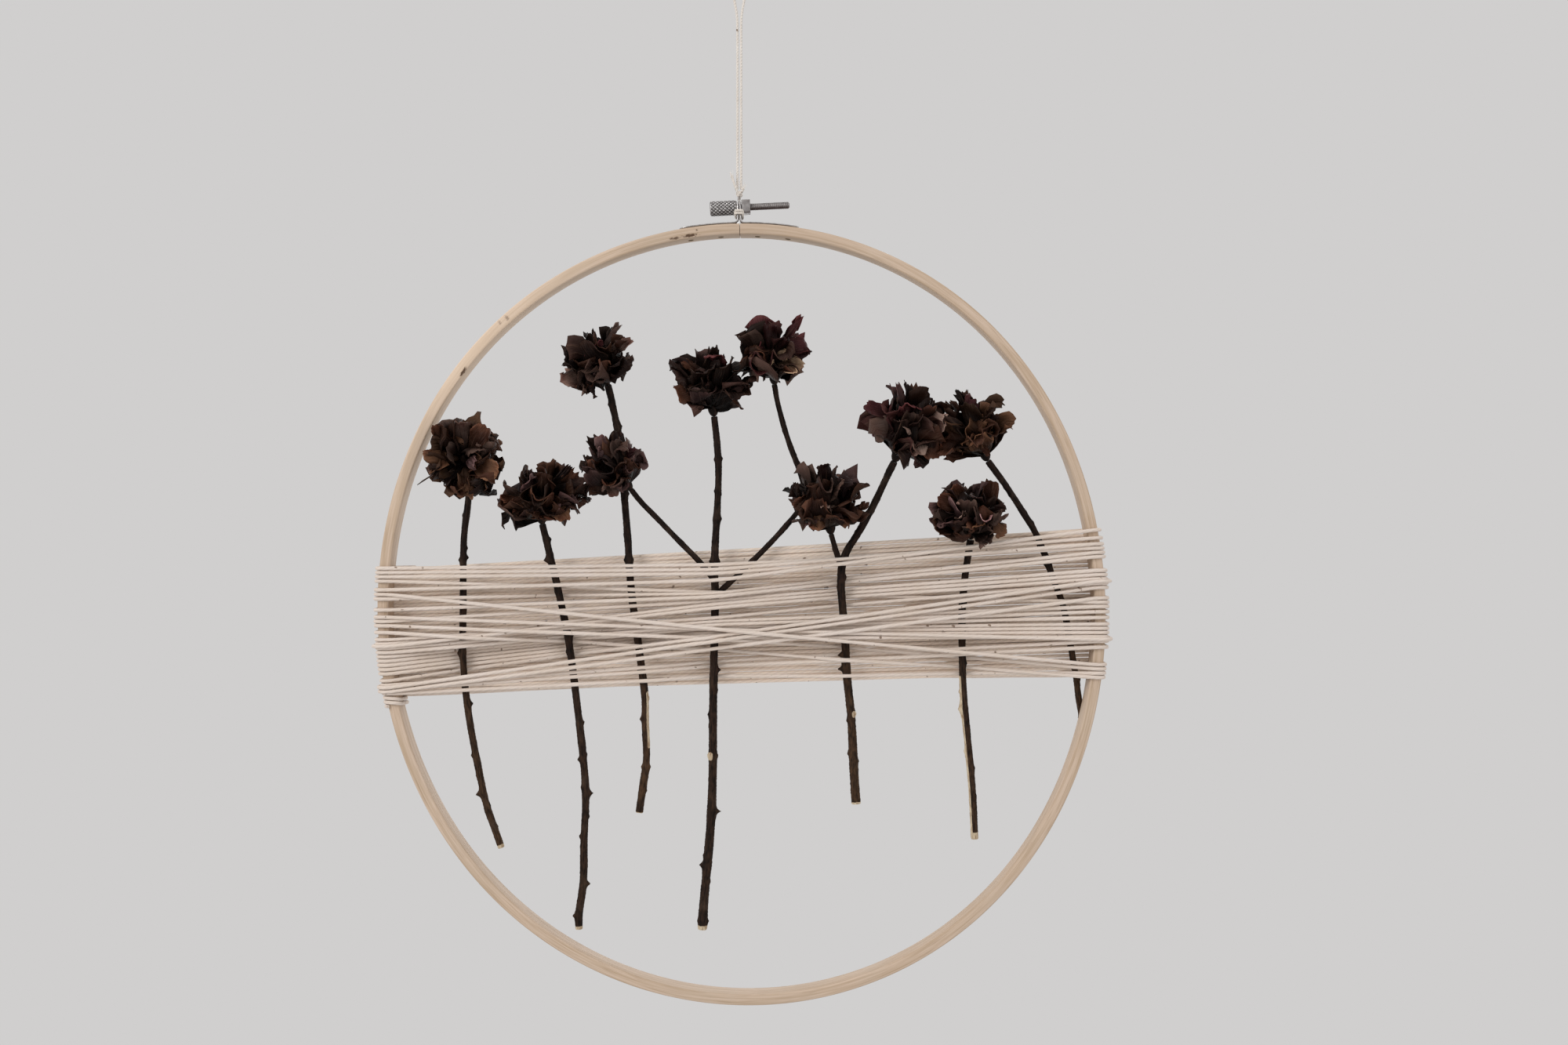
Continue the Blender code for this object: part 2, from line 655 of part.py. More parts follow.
def main():
    """Clear the file and build the piece."""
    for item in list(bpy.data.objects):
        bpy.data.objects.remove(item)
    wood = finish("pale_wood", (0.62, 0.47, 0.32), 0.6)
    steel = finish("steel", (0.55, 0.55, 0.54), 0.35, 1.0)
    cotton = finish("cream_cotton", (0.76, 0.67, 0.57), 0.9)
    bark = finish("dark_bark", (0.035, 0.022, 0.016), 0.8)
    centre = bpy.data.objects.new("hoop_centre", None)
    centre.location = Vector((-LOOP_X, 0, -HANG_DROP)) * MM
    bpy.context.scene.collection.objects.link(centre)
    hoop_ring(centre, wood)
    clamp(centre, steel)
    yarn_winding(centre, cotton)
    twigs(centre, bark)
    for name, shape in ROSES.items():
        petal = finish(f"{name}_petals", (0.06, 0.03, 0.025), 0.85)
        rose(name, *shape, centre, petal)
    hanging_string(centre, cotton)
    hanging_knot(centre, cotton)


main()
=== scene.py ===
import math

import bpy
import numpy as np
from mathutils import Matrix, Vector


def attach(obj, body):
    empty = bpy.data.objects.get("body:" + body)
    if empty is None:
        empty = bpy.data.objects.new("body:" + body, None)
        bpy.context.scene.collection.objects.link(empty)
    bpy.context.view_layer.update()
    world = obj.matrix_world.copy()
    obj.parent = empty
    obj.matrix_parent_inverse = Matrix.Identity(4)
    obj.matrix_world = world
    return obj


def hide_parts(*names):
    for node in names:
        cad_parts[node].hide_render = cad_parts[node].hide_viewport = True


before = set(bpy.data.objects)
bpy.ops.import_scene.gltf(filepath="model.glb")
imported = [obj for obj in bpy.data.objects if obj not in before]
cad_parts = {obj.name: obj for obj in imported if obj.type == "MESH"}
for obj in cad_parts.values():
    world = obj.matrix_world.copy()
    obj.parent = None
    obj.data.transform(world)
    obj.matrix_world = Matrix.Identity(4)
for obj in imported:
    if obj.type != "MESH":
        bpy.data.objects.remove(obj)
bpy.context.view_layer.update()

# The view and the room.
# The photograph was taken level with a 35 mm lens, 61 cm from the hoop, from a little right of its
# middle and above it. The piece hangs in open air over a pale floor, in soft light from the left.
MM = 0.001
CENTRE = Vector((1.5, 0, -254)) * MM
EYE = Vector((16.5, -613.4, 36.5)) * MM

camera = bpy.data.objects.new("camera", bpy.data.cameras.new("camera"))
camera.data.lens = 35
camera.data.sensor_width = 36
camera.location = CENTRE + EYE
camera.rotation_euler = (math.radians(90), 0, 0)
bpy.context.scene.collection.objects.link(camera)
bpy.context.scene.camera = camera
bpy.context.scene.view_settings.view_transform = "Standard"

ROOM_COLOUR = (0.632, 0.622, 0.618, 1)
room = bpy.data.worlds.new("pale_room")
room.use_nodes = True
room.node_tree.nodes["Background"].inputs["Color"].default_value = ROOM_COLOUR
room.node_tree.nodes["Background"].inputs["Strength"].default_value = 1.0
bpy.context.scene.world = room

# Each light: where it stands, its size across, and its power.
LIGHTS = {
    "window_left": ((-1.1, -1.0, 0.35), 0.7, 10),
    "fill_right": ((1.3, -1.2, -0.1), 1.0, 4),
    "top_soft": ((0.1, -0.2, 1.1), 0.9, 3),
    "behind": ((0.4, 1.5, 0.2), 1.2, 7),
}
for name, (place, size, power) in LIGHTS.items():
    lamp = bpy.data.lights.new(name, "AREA")
    lamp.size = size
    lamp.energy = power
    light = bpy.data.objects.new(name, lamp)
    light.location = place
    light.rotation_euler = (CENTRE - Vector(place)).to_track_quat("-Z", "Y").to_euler()
    bpy.context.scene.collection.objects.link(light)

FLOOR_HEIGHT = -1.5
FLOOR_HALF = 2.0
corners = [(FLOOR_HALF * x, FLOOR_HALF * y, FLOOR_HEIGHT) for x, y in ((-1, -1), (1, -1), (1, 1), (-1, 1))]
floor_mesh = bpy.data.meshes.new("floor")
floor_mesh.from_pydata(corners, [], [(0, 1, 2, 3)])
floor = bpy.data.objects.new("floor", floor_mesh)
bpy.context.scene.collection.objects.link(floor)


# The hanging string.
# One thin length of two-ply cotton goes up from the knot, round in a small loop and down again. Its
# two sides are taut and a hair apart, and only the loop lies above what the photograph shows.
class Wire:
    """A socket of a material. Arithmetic on it adds Math nodes, and node() adds any other node."""

    def __init__(self, tree, socket=None):
        self.tree = tree
        self.socket = socket

    def feed(self, socket, value):
        """Link a wire to a socket, or set the socket to a plain value."""
        if isinstance(value, Wire):
            self.tree.links.new(value.socket, socket)
        else:
            socket.default_value = value

    def node(self, kind, settings, inputs, output=0):
        """Add a node, its settings first and then the values or links of its sockets."""
        node = self.tree.nodes.new("ShaderNode" + kind)
        for name, value in settings.items():
            setattr(node, name, value)
        for name, value in inputs.items():
            self.feed(node.inputs[name], value)
        return Wire(self.tree, node.outputs[output])

    def sum(self, operation, left, right):
        """A Math node."""
        return self.node("Math", {"operation": operation}, {0: left, 1: right})

    def __add__(self, other):
        return self.sum("ADD", self, other)

    def __radd__(self, other):
        return self.sum("ADD", other, self)

    def __sub__(self, other):
        return self.sum("SUBTRACT", self, other)

    def __rsub__(self, other):
        return self.sum("SUBTRACT", other, self)

    def __mul__(self, other):
        return self.sum("MULTIPLY", self, other)

    def __rmul__(self, other):
        return self.sum("MULTIPLY", other, self)

    def __truediv__(self, other):
        return self.sum("DIVIDE", self, other)

    def __pow__(self, other):
        return self.sum("POWER", self, other)

    def clip(self, low, high):
        """Stretch low to high over 0 to 1, and stop at both."""
        return self.node("MapRange", {}, {"Value": self, "From Min": low, "From Max": high})

    def mix(self, first, second):
        """Mix two colours with this value as the factor."""
        return self.node("Mix", {"data_type": "RGBA"}, {0: self, 6: first, 7: second}, 2)

    def tint(self, colour):
        """This colour multiplied by another one."""
        settings = {"data_type": "RGBA", "blend_type": "MULTIPLY"}
        return self.node("Mix", settings, {0: 1.0, 6: self, 7: colour}, 2)

    def stretch(self, by):
        """This vector with each of its three parts multiplied."""
        return self.node("VectorMath", {"operation": "MULTIPLY"}, {0: self, 1: by})

    def part(self, axis):
        """One part of this vector: 0 for x, 1 for y, 2 for z."""
        return self.node("SeparateXYZ", {}, {"Vector": self}, axis)

    def place(self):
        """The place on the piece's mesh, in metres."""
        return self.node("TexCoord", {}, {}, "Object")

    def read(self, name, output="Fac"):
        """A named value of the mesh: Fac for a number, Vector for a vector."""
        return self.node("Attribute", {"attribute_name": name}, {}, output)

    def noise(self, place, scale, detail=3.0):
        """Cloudy noise over a place, from 0 to 1."""
        return self.node("TexNoise", {}, {"Vector": place, "Scale": scale, "Detail": detail})

    def bump(self, height, distance, strength=1.0):
        """A normal that this height raises, at a depth in metres."""
        return self.node("Bump", {}, {"Height": height, "Distance": distance, "Strength": strength})


def start(name, **constants):
    """A new material, a wire of its node tree, and its Principled shader's sockets."""
    material = bpy.data.materials.new(name)
    material.use_nodes = True
    sockets = material.node_tree.nodes["Principled BSDF"].inputs
    for socket, value in constants.items():
        sockets[socket.replace("_", " ")].default_value = value
    return material, Wire(material.node_tree), sockets


def unit(rows):
    """Vectors scaled to a length of one."""
    return rows / np.maximum(np.linalg.norm(rows, axis=-1, keepdims=True), 1e-9)


def far_along(line):
    """How far along a line each of its points is."""
    return np.concatenate(([0], np.cumsum(np.linalg.norm(np.diff(line, axis=0), axis=1))))


def smooth_route(points, step, cuts=2):
    """Round a route's corners, and place points along it at an even step, all in millimetres."""
    route = np.array(points, float)
    for _ in range(cuts):
        near = 0.75 * route[:-1] + 0.25 * route[1:]
        far = 0.25 * route[:-1] + 0.75 * route[1:]
        inner = np.stack((near, far), axis=1).reshape(-1, 3)
        route = np.vstack((route[:1], inner, route[-1:]))
    along = far_along(route)
    places = np.linspace(0, along[-1], max(2, round(along[-1] / step) + 1))
    return np.stack([np.interp(places, along, route[:, k]) for k in range(3)], axis=1), places


def rings(route, radius, sides, turn=0.0):
    """Rings of points round a route. radius is one number, or one for each point of each ring."""
    ways = unit(np.gradient(route, axis=0))
    side = np.cross(ways[0], (0.31, 0.9, 0.17))
    across = np.empty_like(route)
    for i, way in enumerate(ways):
        side = side - way * side.dot(way)
        side /= math.sqrt(side.dot(side))
        across[i] = side
    other = np.cross(ways, across)
    angle = np.linspace(0, math.tau, sides, endpoint=False) + np.reshape(turn, (-1, 1))
    reach = np.broadcast_to(radius, (len(route), sides))
    across = across[:, None] * (np.cos(angle) * reach)[..., None]
    return route[:, None] + across + other[:, None] * (np.sin(angle) * reach)[..., None]


VALUE_KINDS = {1: ("FLOAT", "value"), 3: ("FLOAT_VECTOR", "vector"), 4: ("FLOAT_COLOR", "color")}


def smooth_piece(name, points, faces, material, values):
    """A smooth piece over points in millimetres from the hoop's middle.

    values maps a name to a row of numbers, vectors or colours, one for each point.
    """
    mesh = bpy.data.meshes.new(name)
    mesh.from_pydata((points * MM + np.array(CENTRE)).tolist(), [], faces)
    for key, row in values.items():
        row = np.asarray(row, np.float32)
        kind, field = VALUE_KINDS[row.size // len(points)]
        mesh.attributes.new(key, kind, "POINT").data.foreach_set(field, row.ravel())
    mesh.shade_smooth()
    mesh.materials.append(material)
    piece = bpy.data.objects.new(name, mesh)
    bpy.context.scene.collection.objects.link(piece)
    return piece


def skin(name, tubes, material, body, values):
    """One smooth mesh over several stacks of rings, each closed at both ends, that rides on a body."""
    faces = []
    first = 0
    for tube in tubes:
        count, sides = tube.shape[:2]
        low = first + np.arange(count - 1)[:, None] * sides + np.arange(sides)
        high = low + sides
        faces += np.stack((low, np.roll(low, -1, 1), np.roll(high, -1, 1), high), -1).reshape(-1, 4).tolist()
        faces.append(list(range(first + sides - 1, first - 1, -1)))
        faces.append(list(range(first + (count - 1) * sides, first + count * sides)))
        first += count * sides
    points = np.concatenate([tube.reshape(-1, 3) for tube in tubes])
    piece = smooth_piece(name, points, faces, material, values)
    piece.data.set_sharp_from_angle(angle=math.radians(60))
    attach(piece, body)
    return piece


STRING = 1.1
STRING_PART = 0.75
STRING_X = -1.5
LOOP_RADIUS = 2.6
SPREAD_LENGTH = 14.0
HANG_POINT = 254.0
LOOP_TOP = HANG_POINT + STRING / 2 - LOOP_RADIUS
KNOT_HEIGHT = 168.6
KNOT_RADIUS = 1.7
STRING_FOOT = KNOT_HEIGHT + KNOT_RADIUS + 0.3
PLY_TURN = 2.6
STRING_STEP = 0.22
WRAP_STEPS = 24
WRAP_TOP = 159.85
WRAP_PITCH = 0.2
WRAP_TURNS = 2
WRAP_HALF = (1.3, 4.2)
WRAP_BULGE = 0.55
WRAP_RISE = (1.5, 0.65)
OVERHAND_SIZE = 0.32
OVERHAND_HEIGHT = 0.75
OVERHAND_STEPS = 40

FUZZY = {"Sheen_Weight": 0.2, "Sheen_Roughness": 0.5, "Specular_IOR_Level": 0.2}
cotton, w, sockets = start("cream_cotton", Roughness=0.92, **FUZZY)
place = w.place()
COTTON_LIGHT = (0.85, 0.80, 0.74, 1)
COTTON_DEEP = (0.77, 0.71, 0.645, 1)
COTTON_GROOVE_SHADE = (0.56, 0.46, 0.38, 1)
SPECK = (0.17, 0.10, 0.06, 1)
colour = w.noise(place, 90.0).clip(0.35, 0.7).mix(COTTON_LIGHT, COTTON_DEEP)
# Painted shade in the grooves between the plies.
colour = (w.read("groove") * 0.3).mix(colour, COTTON_GROOVE_SHADE)
colour = (w.noise(place, 430.0, 1.0).clip(0.74, 0.79) * 0.8).mix(colour, SPECK)
w.feed(sockets["Base Color"], colour)
height = w.noise(place, 2600.0, 2.0) - w.read("groove")
w.feed(sockets["Normal"], w.bump(height, 0.00012, 0.5))

rise = [(STRING_X - STRING_PART, 0, z) for z in np.linspace(STRING_FOOT, LOOP_TOP - SPREAD_LENGTH, 9)]
for share in (0.25, 0.5, 0.75):
    spread = STRING_PART + (LOOP_RADIUS - STRING_PART) * (3 - 2 * share) * share**2
    rise.append((STRING_X - spread, 0, LOOP_TOP - SPREAD_LENGTH * (1 - share)))
bend = []
for angle in range(0, 181, 18):
    way = math.radians(180 - angle)
    bend.append((STRING_X + LOOP_RADIUS * math.cos(way), 0, LOOP_TOP + LOOP_RADIUS * math.sin(way)))
fall = [(2 * STRING_X - x, y, z) for x, y, z in reversed(rise)]
string_route, string_along = smooth_route(rise + bend + fall, STRING_STEP, 1)


def laid(route, along, diameter, sides=10):
    """Rings of two-ply string, its points turning with the plies, and how deep in a groove each is."""
    lobes = np.cos(2 * np.linspace(0, math.tau, sides, endpoint=False))
    slub = 1 + 0.05 * np.sin(along * 0.9) * np.sin(along * 0.37 + 1)
    radius = diameter / 2 * slub[:, None] * (0.92 + 0.09 * lobes)
    groove = np.broadcast_to((1 - lobes) / 2, radius.shape)
    return rings(route, radius, sides, math.tau * along / PLY_TURN), groove.ravel()


string_rings, groove = laid(string_route, string_along, STRING)
string = skin("hanging_string_yarn", [string_rings], cotton, "hanging", {"groove": groove})
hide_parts("hanging_string")

# The knot above the ears, the two turns round their neck below the screw, and the two cut ends,
# whose plies have come apart.
TAIL_LONG = ((-1.6, -0.6, 168.0), (-2.5, -1.6, 169.8), (-3.5, -2.0, 172.6), (-4.4, -1.8, 175.2))
TAIL_SHORT = ((-1.4, -0.4, 168.6), (-0.2, -1.9, 169.4), (0.3, -2.4, 170.4))
FIBRES = 15
FIBRE = 0.055
FIBRE_SPREAD = 0.42
wrap = [(STRING_X, 0.2, KNOT_HEIGHT), (STRING_X, 3.85, 167.7), (STRING_X, 4.5, 165.6), (STRING_X, 4.7, 161.0)]
for step in range(WRAP_STEPS * WRAP_TURNS + 1):
    angle = math.radians(90 + 360 / WRAP_STEPS * step)
    y = math.copysign(math.sqrt(abs(math.sin(angle))), math.sin(angle)) * WRAP_HALF[1]
    half_x = WRAP_HALF[0] + WRAP_BULGE * min(1, max(0, -y - 2.2) / 1.2)
    x = math.copysign(math.sqrt(abs(math.cos(angle))), math.cos(angle)) * half_x
    ride_up = WRAP_RISE[min(step // WRAP_STEPS, 1)] * min(1, max(0, -y - 2.8))
    wrap.append((STRING_X + x, y, WRAP_TOP - WRAP_PITCH * step / WRAP_STEPS + ride_up))
overhand = []
for step in range(OVERHAND_STEPS + 1):
    t = math.tau * step / OVERHAND_STEPS
    x = OVERHAND_SIZE * (math.sin(t) + 2 * math.sin(2 * t))
    y = OVERHAND_SIZE * (math.cos(t) - 2 * math.cos(2 * t))
    overhand.append((STRING_X + x, y, KNOT_HEIGHT - OVERHAND_HEIGHT * math.sin(3 * t)))
tubes = []
grooves = []
for part in (wrap, overhand, TAIL_LONG, TAIL_SHORT):
    tube, groove = laid(*smooth_route(part, STRING_STEP), STRING)
    tubes.append(tube)
    grooves.append(groove)
rng = np.random.default_rng(5)
for tail in (TAIL_LONG, TAIL_SHORT):
    foot, tip = Vector(tail[-2]), Vector(tail[-1])
    for _ in range(FIBRES):
        spread = Vector(rng.normal(0, FIBRE_SPREAD, 3))
        start_point = foot.lerp(tip, rng.uniform(0.2, 0.8)) + spread * 0.4
        end_point = tip + (tip - foot).normalized() * rng.uniform(0.4, 2.2) + spread * 1.3
        middle = start_point.lerp(end_point, 0.5) + Vector(rng.normal(0, 0.15, 3))
        tubes.append(rings(smooth_route([start_point, middle, end_point], 0.5)[0], FIBRE, 3))
        grooves.append(np.zeros(tubes[-1].shape[0] * 3))
knot = skin("hanging_string_knot", tubes, cotton, "hanging", {"groove": np.concatenate(grooves)})
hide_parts("hanging_knot")


# The hoop.
# A planed strip of pale bentwood, sawn through at the top. Its grain runs round the hoop, it is
# bare and a little soiled, and the ends of the bracket's nails show on its inner face.
RING_RADIUS = 151.3
RING_THICK = 4.4
RING_DEPTH = 9.5
RING_EDGE = 0.7
RING_STATIONS = 300
OVAL = 5.4
OVAL_LEAN = math.radians(2.9)
PEAR = 0.5
PEAR_TURN = math.radians(25)
SQUARE = 0.4
SPLIT_WIDTH = 0.2
RING_LENGTH = 949.0
SPLIT_LEFT = 1.2
TOP_RADIUS = 156.1
SPLIT = math.pi / 2 + SPLIT_LEFT / TOP_RADIUS


def rim_radius(angle):
    """Outer radius of the hoop in the direction that an angle from +X gives."""
    oval = OVAL * np.cos(2 * (angle - OVAL_LEAN))
    pear = PEAR * np.cos(3 * angle + PEAR_TURN)
    square = SQUARE * np.cos(4 * angle)
    return RING_RADIUS - oval - pear - square


wood, w, sockets = start("pale_wood", Roughness=0.6, Specular_IOR_Level=0.3)
grain = w.read("grain", "Vector")
band = w.noise(grain.stretch((0.035, 1.3, 1.3)), 1.0, 4.0)
pore = w.noise(grain.stretch((0.10, 2.6, 2.6)), 1.0, 2.0)
cloud = w.noise(grain, 0.045, 2.0)
WOOD_LIGHT = (0.62, 0.48, 0.37, 1)
WOOD_DEEP = (0.47, 0.345, 0.235, 1)
WOOD_PORE = (0.32, 0.215, 0.13, 1)
WOOD_CLOUD = (0.54, 0.44, 0.345, 1)
WOOD_PAINTED_LIGHT = (0.85, 0.665, 0.50, 1)
WOOD_BROWN = (0.40, 0.29, 0.20, 1)
PALE_FROM_CUT = 125.0
PALE_REACH = 85.0
BROWN_REACH = 60.0
STAIN = (0.075, 0.035, 0.015, 1)
colour = band.clip(0.36, 0.68).mix(WOOD_LIGHT, WOOD_DEEP)
colour = (pore.clip(0.56, 0.74) * 0.45).mix(colour, WOOD_PORE)
colour = (cloud.clip(0.45, 0.75) * 0.35).mix(colour, WOOD_CLOUD)
# Painted light makes the strip paler up the left; it is a little browner for a hand's breadth round the cut.
round_hoop = grain.part(0)
painted_light = (1 - w.sum("ABSOLUTE", round_hoop - PALE_FROM_CUT, 0.0) / PALE_REACH).clip(0, 1)
colour = (painted_light * 0.5).mix(colour, WOOD_PAINTED_LIGHT)
brown = (1 - round_hoop / BROWN_REACH).clip(0, 1) + (1 - (RING_LENGTH - round_hoop) / BROWN_REACH).clip(0, 1)
colour = (brown * 0.3).mix(colour, WOOD_BROWN)
# Each stain: how far round from the saw cut, from the middle of the front face, its size and strength.
STAINS = (
    ((20.5, -4.75, -3.3), (4.8, 1.2, 0.95), 1.0),
    ((26.5, -4.75, -3.4), (3.8, 1.1, 0.7), 0.9),
    ((17.3, -4.75, -1.7), (0.7, 1.0, 0.5), 0.8),
    ((131.0, -4.75, -3.7), (3.0, 1.1, 0.85), 1.0),
    ((103.0, -4.75, -2.2), (1.2, 1.0, 1.8), 0.5),
    ((106.5, -4.75, -1.4), (0.8, 1.0, 1.4), 0.4),
)
ragged = w.noise(grain.stretch((0.9, 2.6, 2.6)), 1.0, 3.0)
for spot, size, strength in STAINS:
    shift = w.node("VectorMath", {"operation": "SUBTRACT"}, {0: grain, 1: spot})
    shift = w.node("VectorMath", {"operation": "DIVIDE"}, {0: shift, 1: size})
    reach = w.node("VectorMath", {"operation": "LENGTH"}, {0: shift}, 1)
    mark = (1.22 - reach * 0.6 - (1 - ragged) * 1.1).clip(0.18, 0.42)
    colour = (mark * strength * 0.95).mix(colour, STAIN)
w.feed(sockets["Base Color"], colour)
w.feed(sockets["Normal"], w.bump(band + pore * 0.3, 0.00018, 0.3))

half = RING_DEPTH / 2
outline = []
outer_in = -RING_EDGE
inner_in = RING_EDGE - RING_THICK
corners = ((outer_in, 1, 90), (inner_in, 1, 180), (inner_in, -1, 270), (outer_in, -1, 360))
for centre_in, front_back, turn in corners:
    centre_y = front_back * (half - RING_EDGE)
    for k in range(4):
        way = math.radians(turn - 90 + 30 * k)
        outline.append((centre_in + RING_EDGE * math.cos(way), centre_y + RING_EDGE * math.sin(way)))
outline = np.array(outline)
half_cut = SPLIT_WIDTH / 2 / RING_RADIUS
angles = np.linspace(SPLIT + half_cut, SPLIT + math.tau - half_cut, RING_STATIONS + 1)
radii = rim_radius(angles)[:, None] + outline[None, :, 0]
depths = np.broadcast_to(outline[None, :, 1], radii.shape)
ring_points = np.stack((radii * np.cos(angles)[:, None], depths, radii * np.sin(angles)[:, None]), axis=-1)
arc = np.broadcast_to(far_along(ring_points[:, 0])[:, None], radii.shape)
insets = np.broadcast_to(outline[None, :, 0], radii.shape)
values = {"grain": np.stack((arc, depths, insets), axis=-1).reshape(-1, 3)}
hoop = skin("hoop_ring_wood", [ring_points], wood, "hanging", values)
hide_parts("hoop_ring")


# The bracket.
# Two strips of plated steel lie on the hoop and turn up into ears at the saw cut. Two nails hold
# each strip, driven through the wood, and their ends show brown on its inner face.
PLATE = 0.5
PLATE_WIDTH = 7.0
STRIP_LENGTH = 23.5
EAR_FOOT = 0.3
EAR_TOP = 166.6
EAR_GAP = 0.5
BEND = 1.6
PLATE_LIFT = 0.32
PLATE_STEPS = 25
PLATE_RADIUS = 156.4
NAILS = (7.6, 20.2)
NAIL_HEAD = (1.3, 0.2)
NAIL_END = (1.15, 0.3)
NAIL_SIDES = 14

steel, w, sockets = start("plated_steel", Metallic=1.0)
place = w.place()
dull = w.noise(place, 700.0, 3.0)
scratch = w.noise(place.stretch((900, 5200, 900)), 1.0, 2.0)
hollow = w.read("hollow")
STEEL_BRIGHT = (0.54, 0.52, 0.51, 1)
STEEL_DULL = (0.33, 0.31, 0.305, 1)
GROOVE_SHADE = (0.012, 0.010, 0.010, 1)
TARNISH_AND_SHADE = (0.055, 0.028, 0.024, 1)
colour = dull.clip(0.35, 0.7).mix(STEEL_BRIGHT, STEEL_DULL)
# Painted shade: the knurl's and the thread's grooves and the nut's bore are darkened almost to black.
colour = (hollow * 0.97).mix(colour, GROOVE_SHADE)
# An even tarnish plus painted shade: the shank's underside and the nut's top and bottom faces are darkened
# reddish brown.
colour = (w.read("tarnish") * 0.85).mix(colour, TARNISH_AND_SHADE)
w.feed(sockets["Base Color"], colour)
w.feed(sockets["Roughness"], dull * 0.2 + 0.24 + hollow * 0.2)
w.feed(sockets["Normal"], w.bump(scratch + dull, 0.00005, 0.5))

rust, w, sockets = start("tarnished_nail", Metallic=0.5, Roughness=0.6)
place = w.place()
RUST_DARK = (0.10, 0.062, 0.03, 1)
RUST_LIGHT = (0.23, 0.16, 0.08, 1)
w.feed(sockets["Base Color"], w.noise(place, 1500.0).clip(0.3, 0.7).mix(RUST_DARK, RUST_LIGHT))
w.feed(sockets["Normal"], w.bump(w.noise(place, 2200.0), 0.0001, 0.6))


def plate(side):
    """One strip as rings of eight points, from its rounded end round the fold to the ear's top."""
    foot = float(rim_radius(math.pi / 2)) + EAR_FOOT
    ear = STRING_X + side * (EAR_GAP + PLATE) / 2
    fold = BEND - 0.15
    line = []
    for step in range(PLATE_STEPS, 0, -1):
        angle = math.pi / 2 - (ear + side * fold) / foot
        angle -= side * (STRIP_LENGTH - fold) / foot * step / PLATE_STEPS
        middle = float(rim_radius(angle)) + PLATE_LIFT + PLATE / 2
        line.append((middle * math.cos(angle), 0, middle * math.sin(angle)))
    for step in range(7):
        way = math.radians(90 * step / 6)
        x = ear + side * BEND * (1 - math.sin(way))
        line.append((x, 0, foot + PLATE / 2 + BEND * (1 - math.cos(way))))
    for height in np.linspace(foot + BEND + 1, EAR_TOP, 12):
        line.append((ear + side * 0.12 * math.sin((height - foot) * 0.5), 0, height))
    line = np.array(line)
    across = np.cross(unit(np.gradient(line, axis=0)), (0, 1, 0))
    along = far_along(line)
    ends = np.minimum(along + 0.15, along[-1] - along + 0.15).clip(0, PLATE_WIDTH / 2)
    half = PLATE_WIDTH / 2 - (PLATE_WIDTH / 2 - np.sqrt(PLATE_WIDTH * ends - ends**2)) * 0.85
    shape = ((1, 0.7), (0.97, 1), (-0.97, 1), (-1, 0.7), (-1, -0.7), (-0.97, -1), (0.97, -1), (1, -0.7))
    rows = []
    for wide, thick in shape:
        rows.append(line + across * thick * PLATE / 2 + np.outer(wide * half, (0, 1, 0)))
    return np.stack(rows, axis=1)


def dome(centre, way, radius, height):
    """A nail's head or end as rings, its middle standing proud along way."""
    shares = np.array((1.0, 0.98, 0.8, 0.5, 0.08))
    line = [centre - way * 0.35]
    for share in shares[1:]:
        line.append(centre + way * height * math.sqrt(1 - share**2))
    line = np.array(line) + np.outer(np.arange(len(line)) * 1e-4, way)
    return rings(line, shares[:, None] * radius, NAIL_SIDES)


for side, name in ((-1, "bracket_left"), (1, "bracket_right")):
    stacks = [plate(side)]
    nails = []
    for reach in NAILS:
        angle = math.pi / 2 - (STRING_X + side * reach) / PLATE_RADIUS
        way = Vector((math.cos(angle), 0, math.sin(angle)))
        outer = float(rim_radius(angle))
        stacks.append(dome(way * (outer + PLATE_LIFT + PLATE), way, *NAIL_HEAD))
        nails.append(dome(way * (outer - RING_THICK), -way, *NAIL_END))
    values = {"hollow": np.zeros(sum(stack.shape[0] * stack.shape[1] for stack in stacks))}
    strip_piece = skin(name + "_plate", stacks, steel, "hanging", values)
    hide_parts(name)
    nail_piece = skin(name + "_nail_ends", nails, rust, "hanging", {})


# The thumb screw.
# A turned steel screw with a long knurled head, through both ears and a square nut. It leans a
# little up to the right. Only the screw turns, and the nut is held by the bracket.
SCREW_HEIGHT = 163.2
SCREW_LEAN = math.radians(2.75)
SEAT = 0.95
SHANK_RADIUS = 1.45
SHANK_END = 20.2
THREAD_PITCH = 0.5
THREAD_DEPTH = 0.2
SHANK_SIDES = 20
HEAD_RADIUS = 3.0
HEAD_LENGTH = 10.8
HEAD_CHAMFER = 0.45
HEAD_SIDES = 150
KNURLS = 12
KNURL_LEAD = 2.0
KNURL_DEPTH = 0.42
NUT_LENGTH = 3.5
NUT_WIDTH = 5.4
NUT_SIDES = 48


def on_screw(along, around, radius):
    """Points of the screw by their place along its axis, round it and out from it."""
    along, around, radius = np.broadcast_arrays(along, around, radius)
    x = along * math.cos(SCREW_LEAN) - radius * np.sin(around) * math.sin(SCREW_LEAN)
    z = along * math.sin(SCREW_LEAN) + radius * np.sin(around) * math.cos(SCREW_LEAN)
    return np.stack((x + STRING_X, radius * np.cos(around), z + SCREW_HEIGHT), axis=-1)


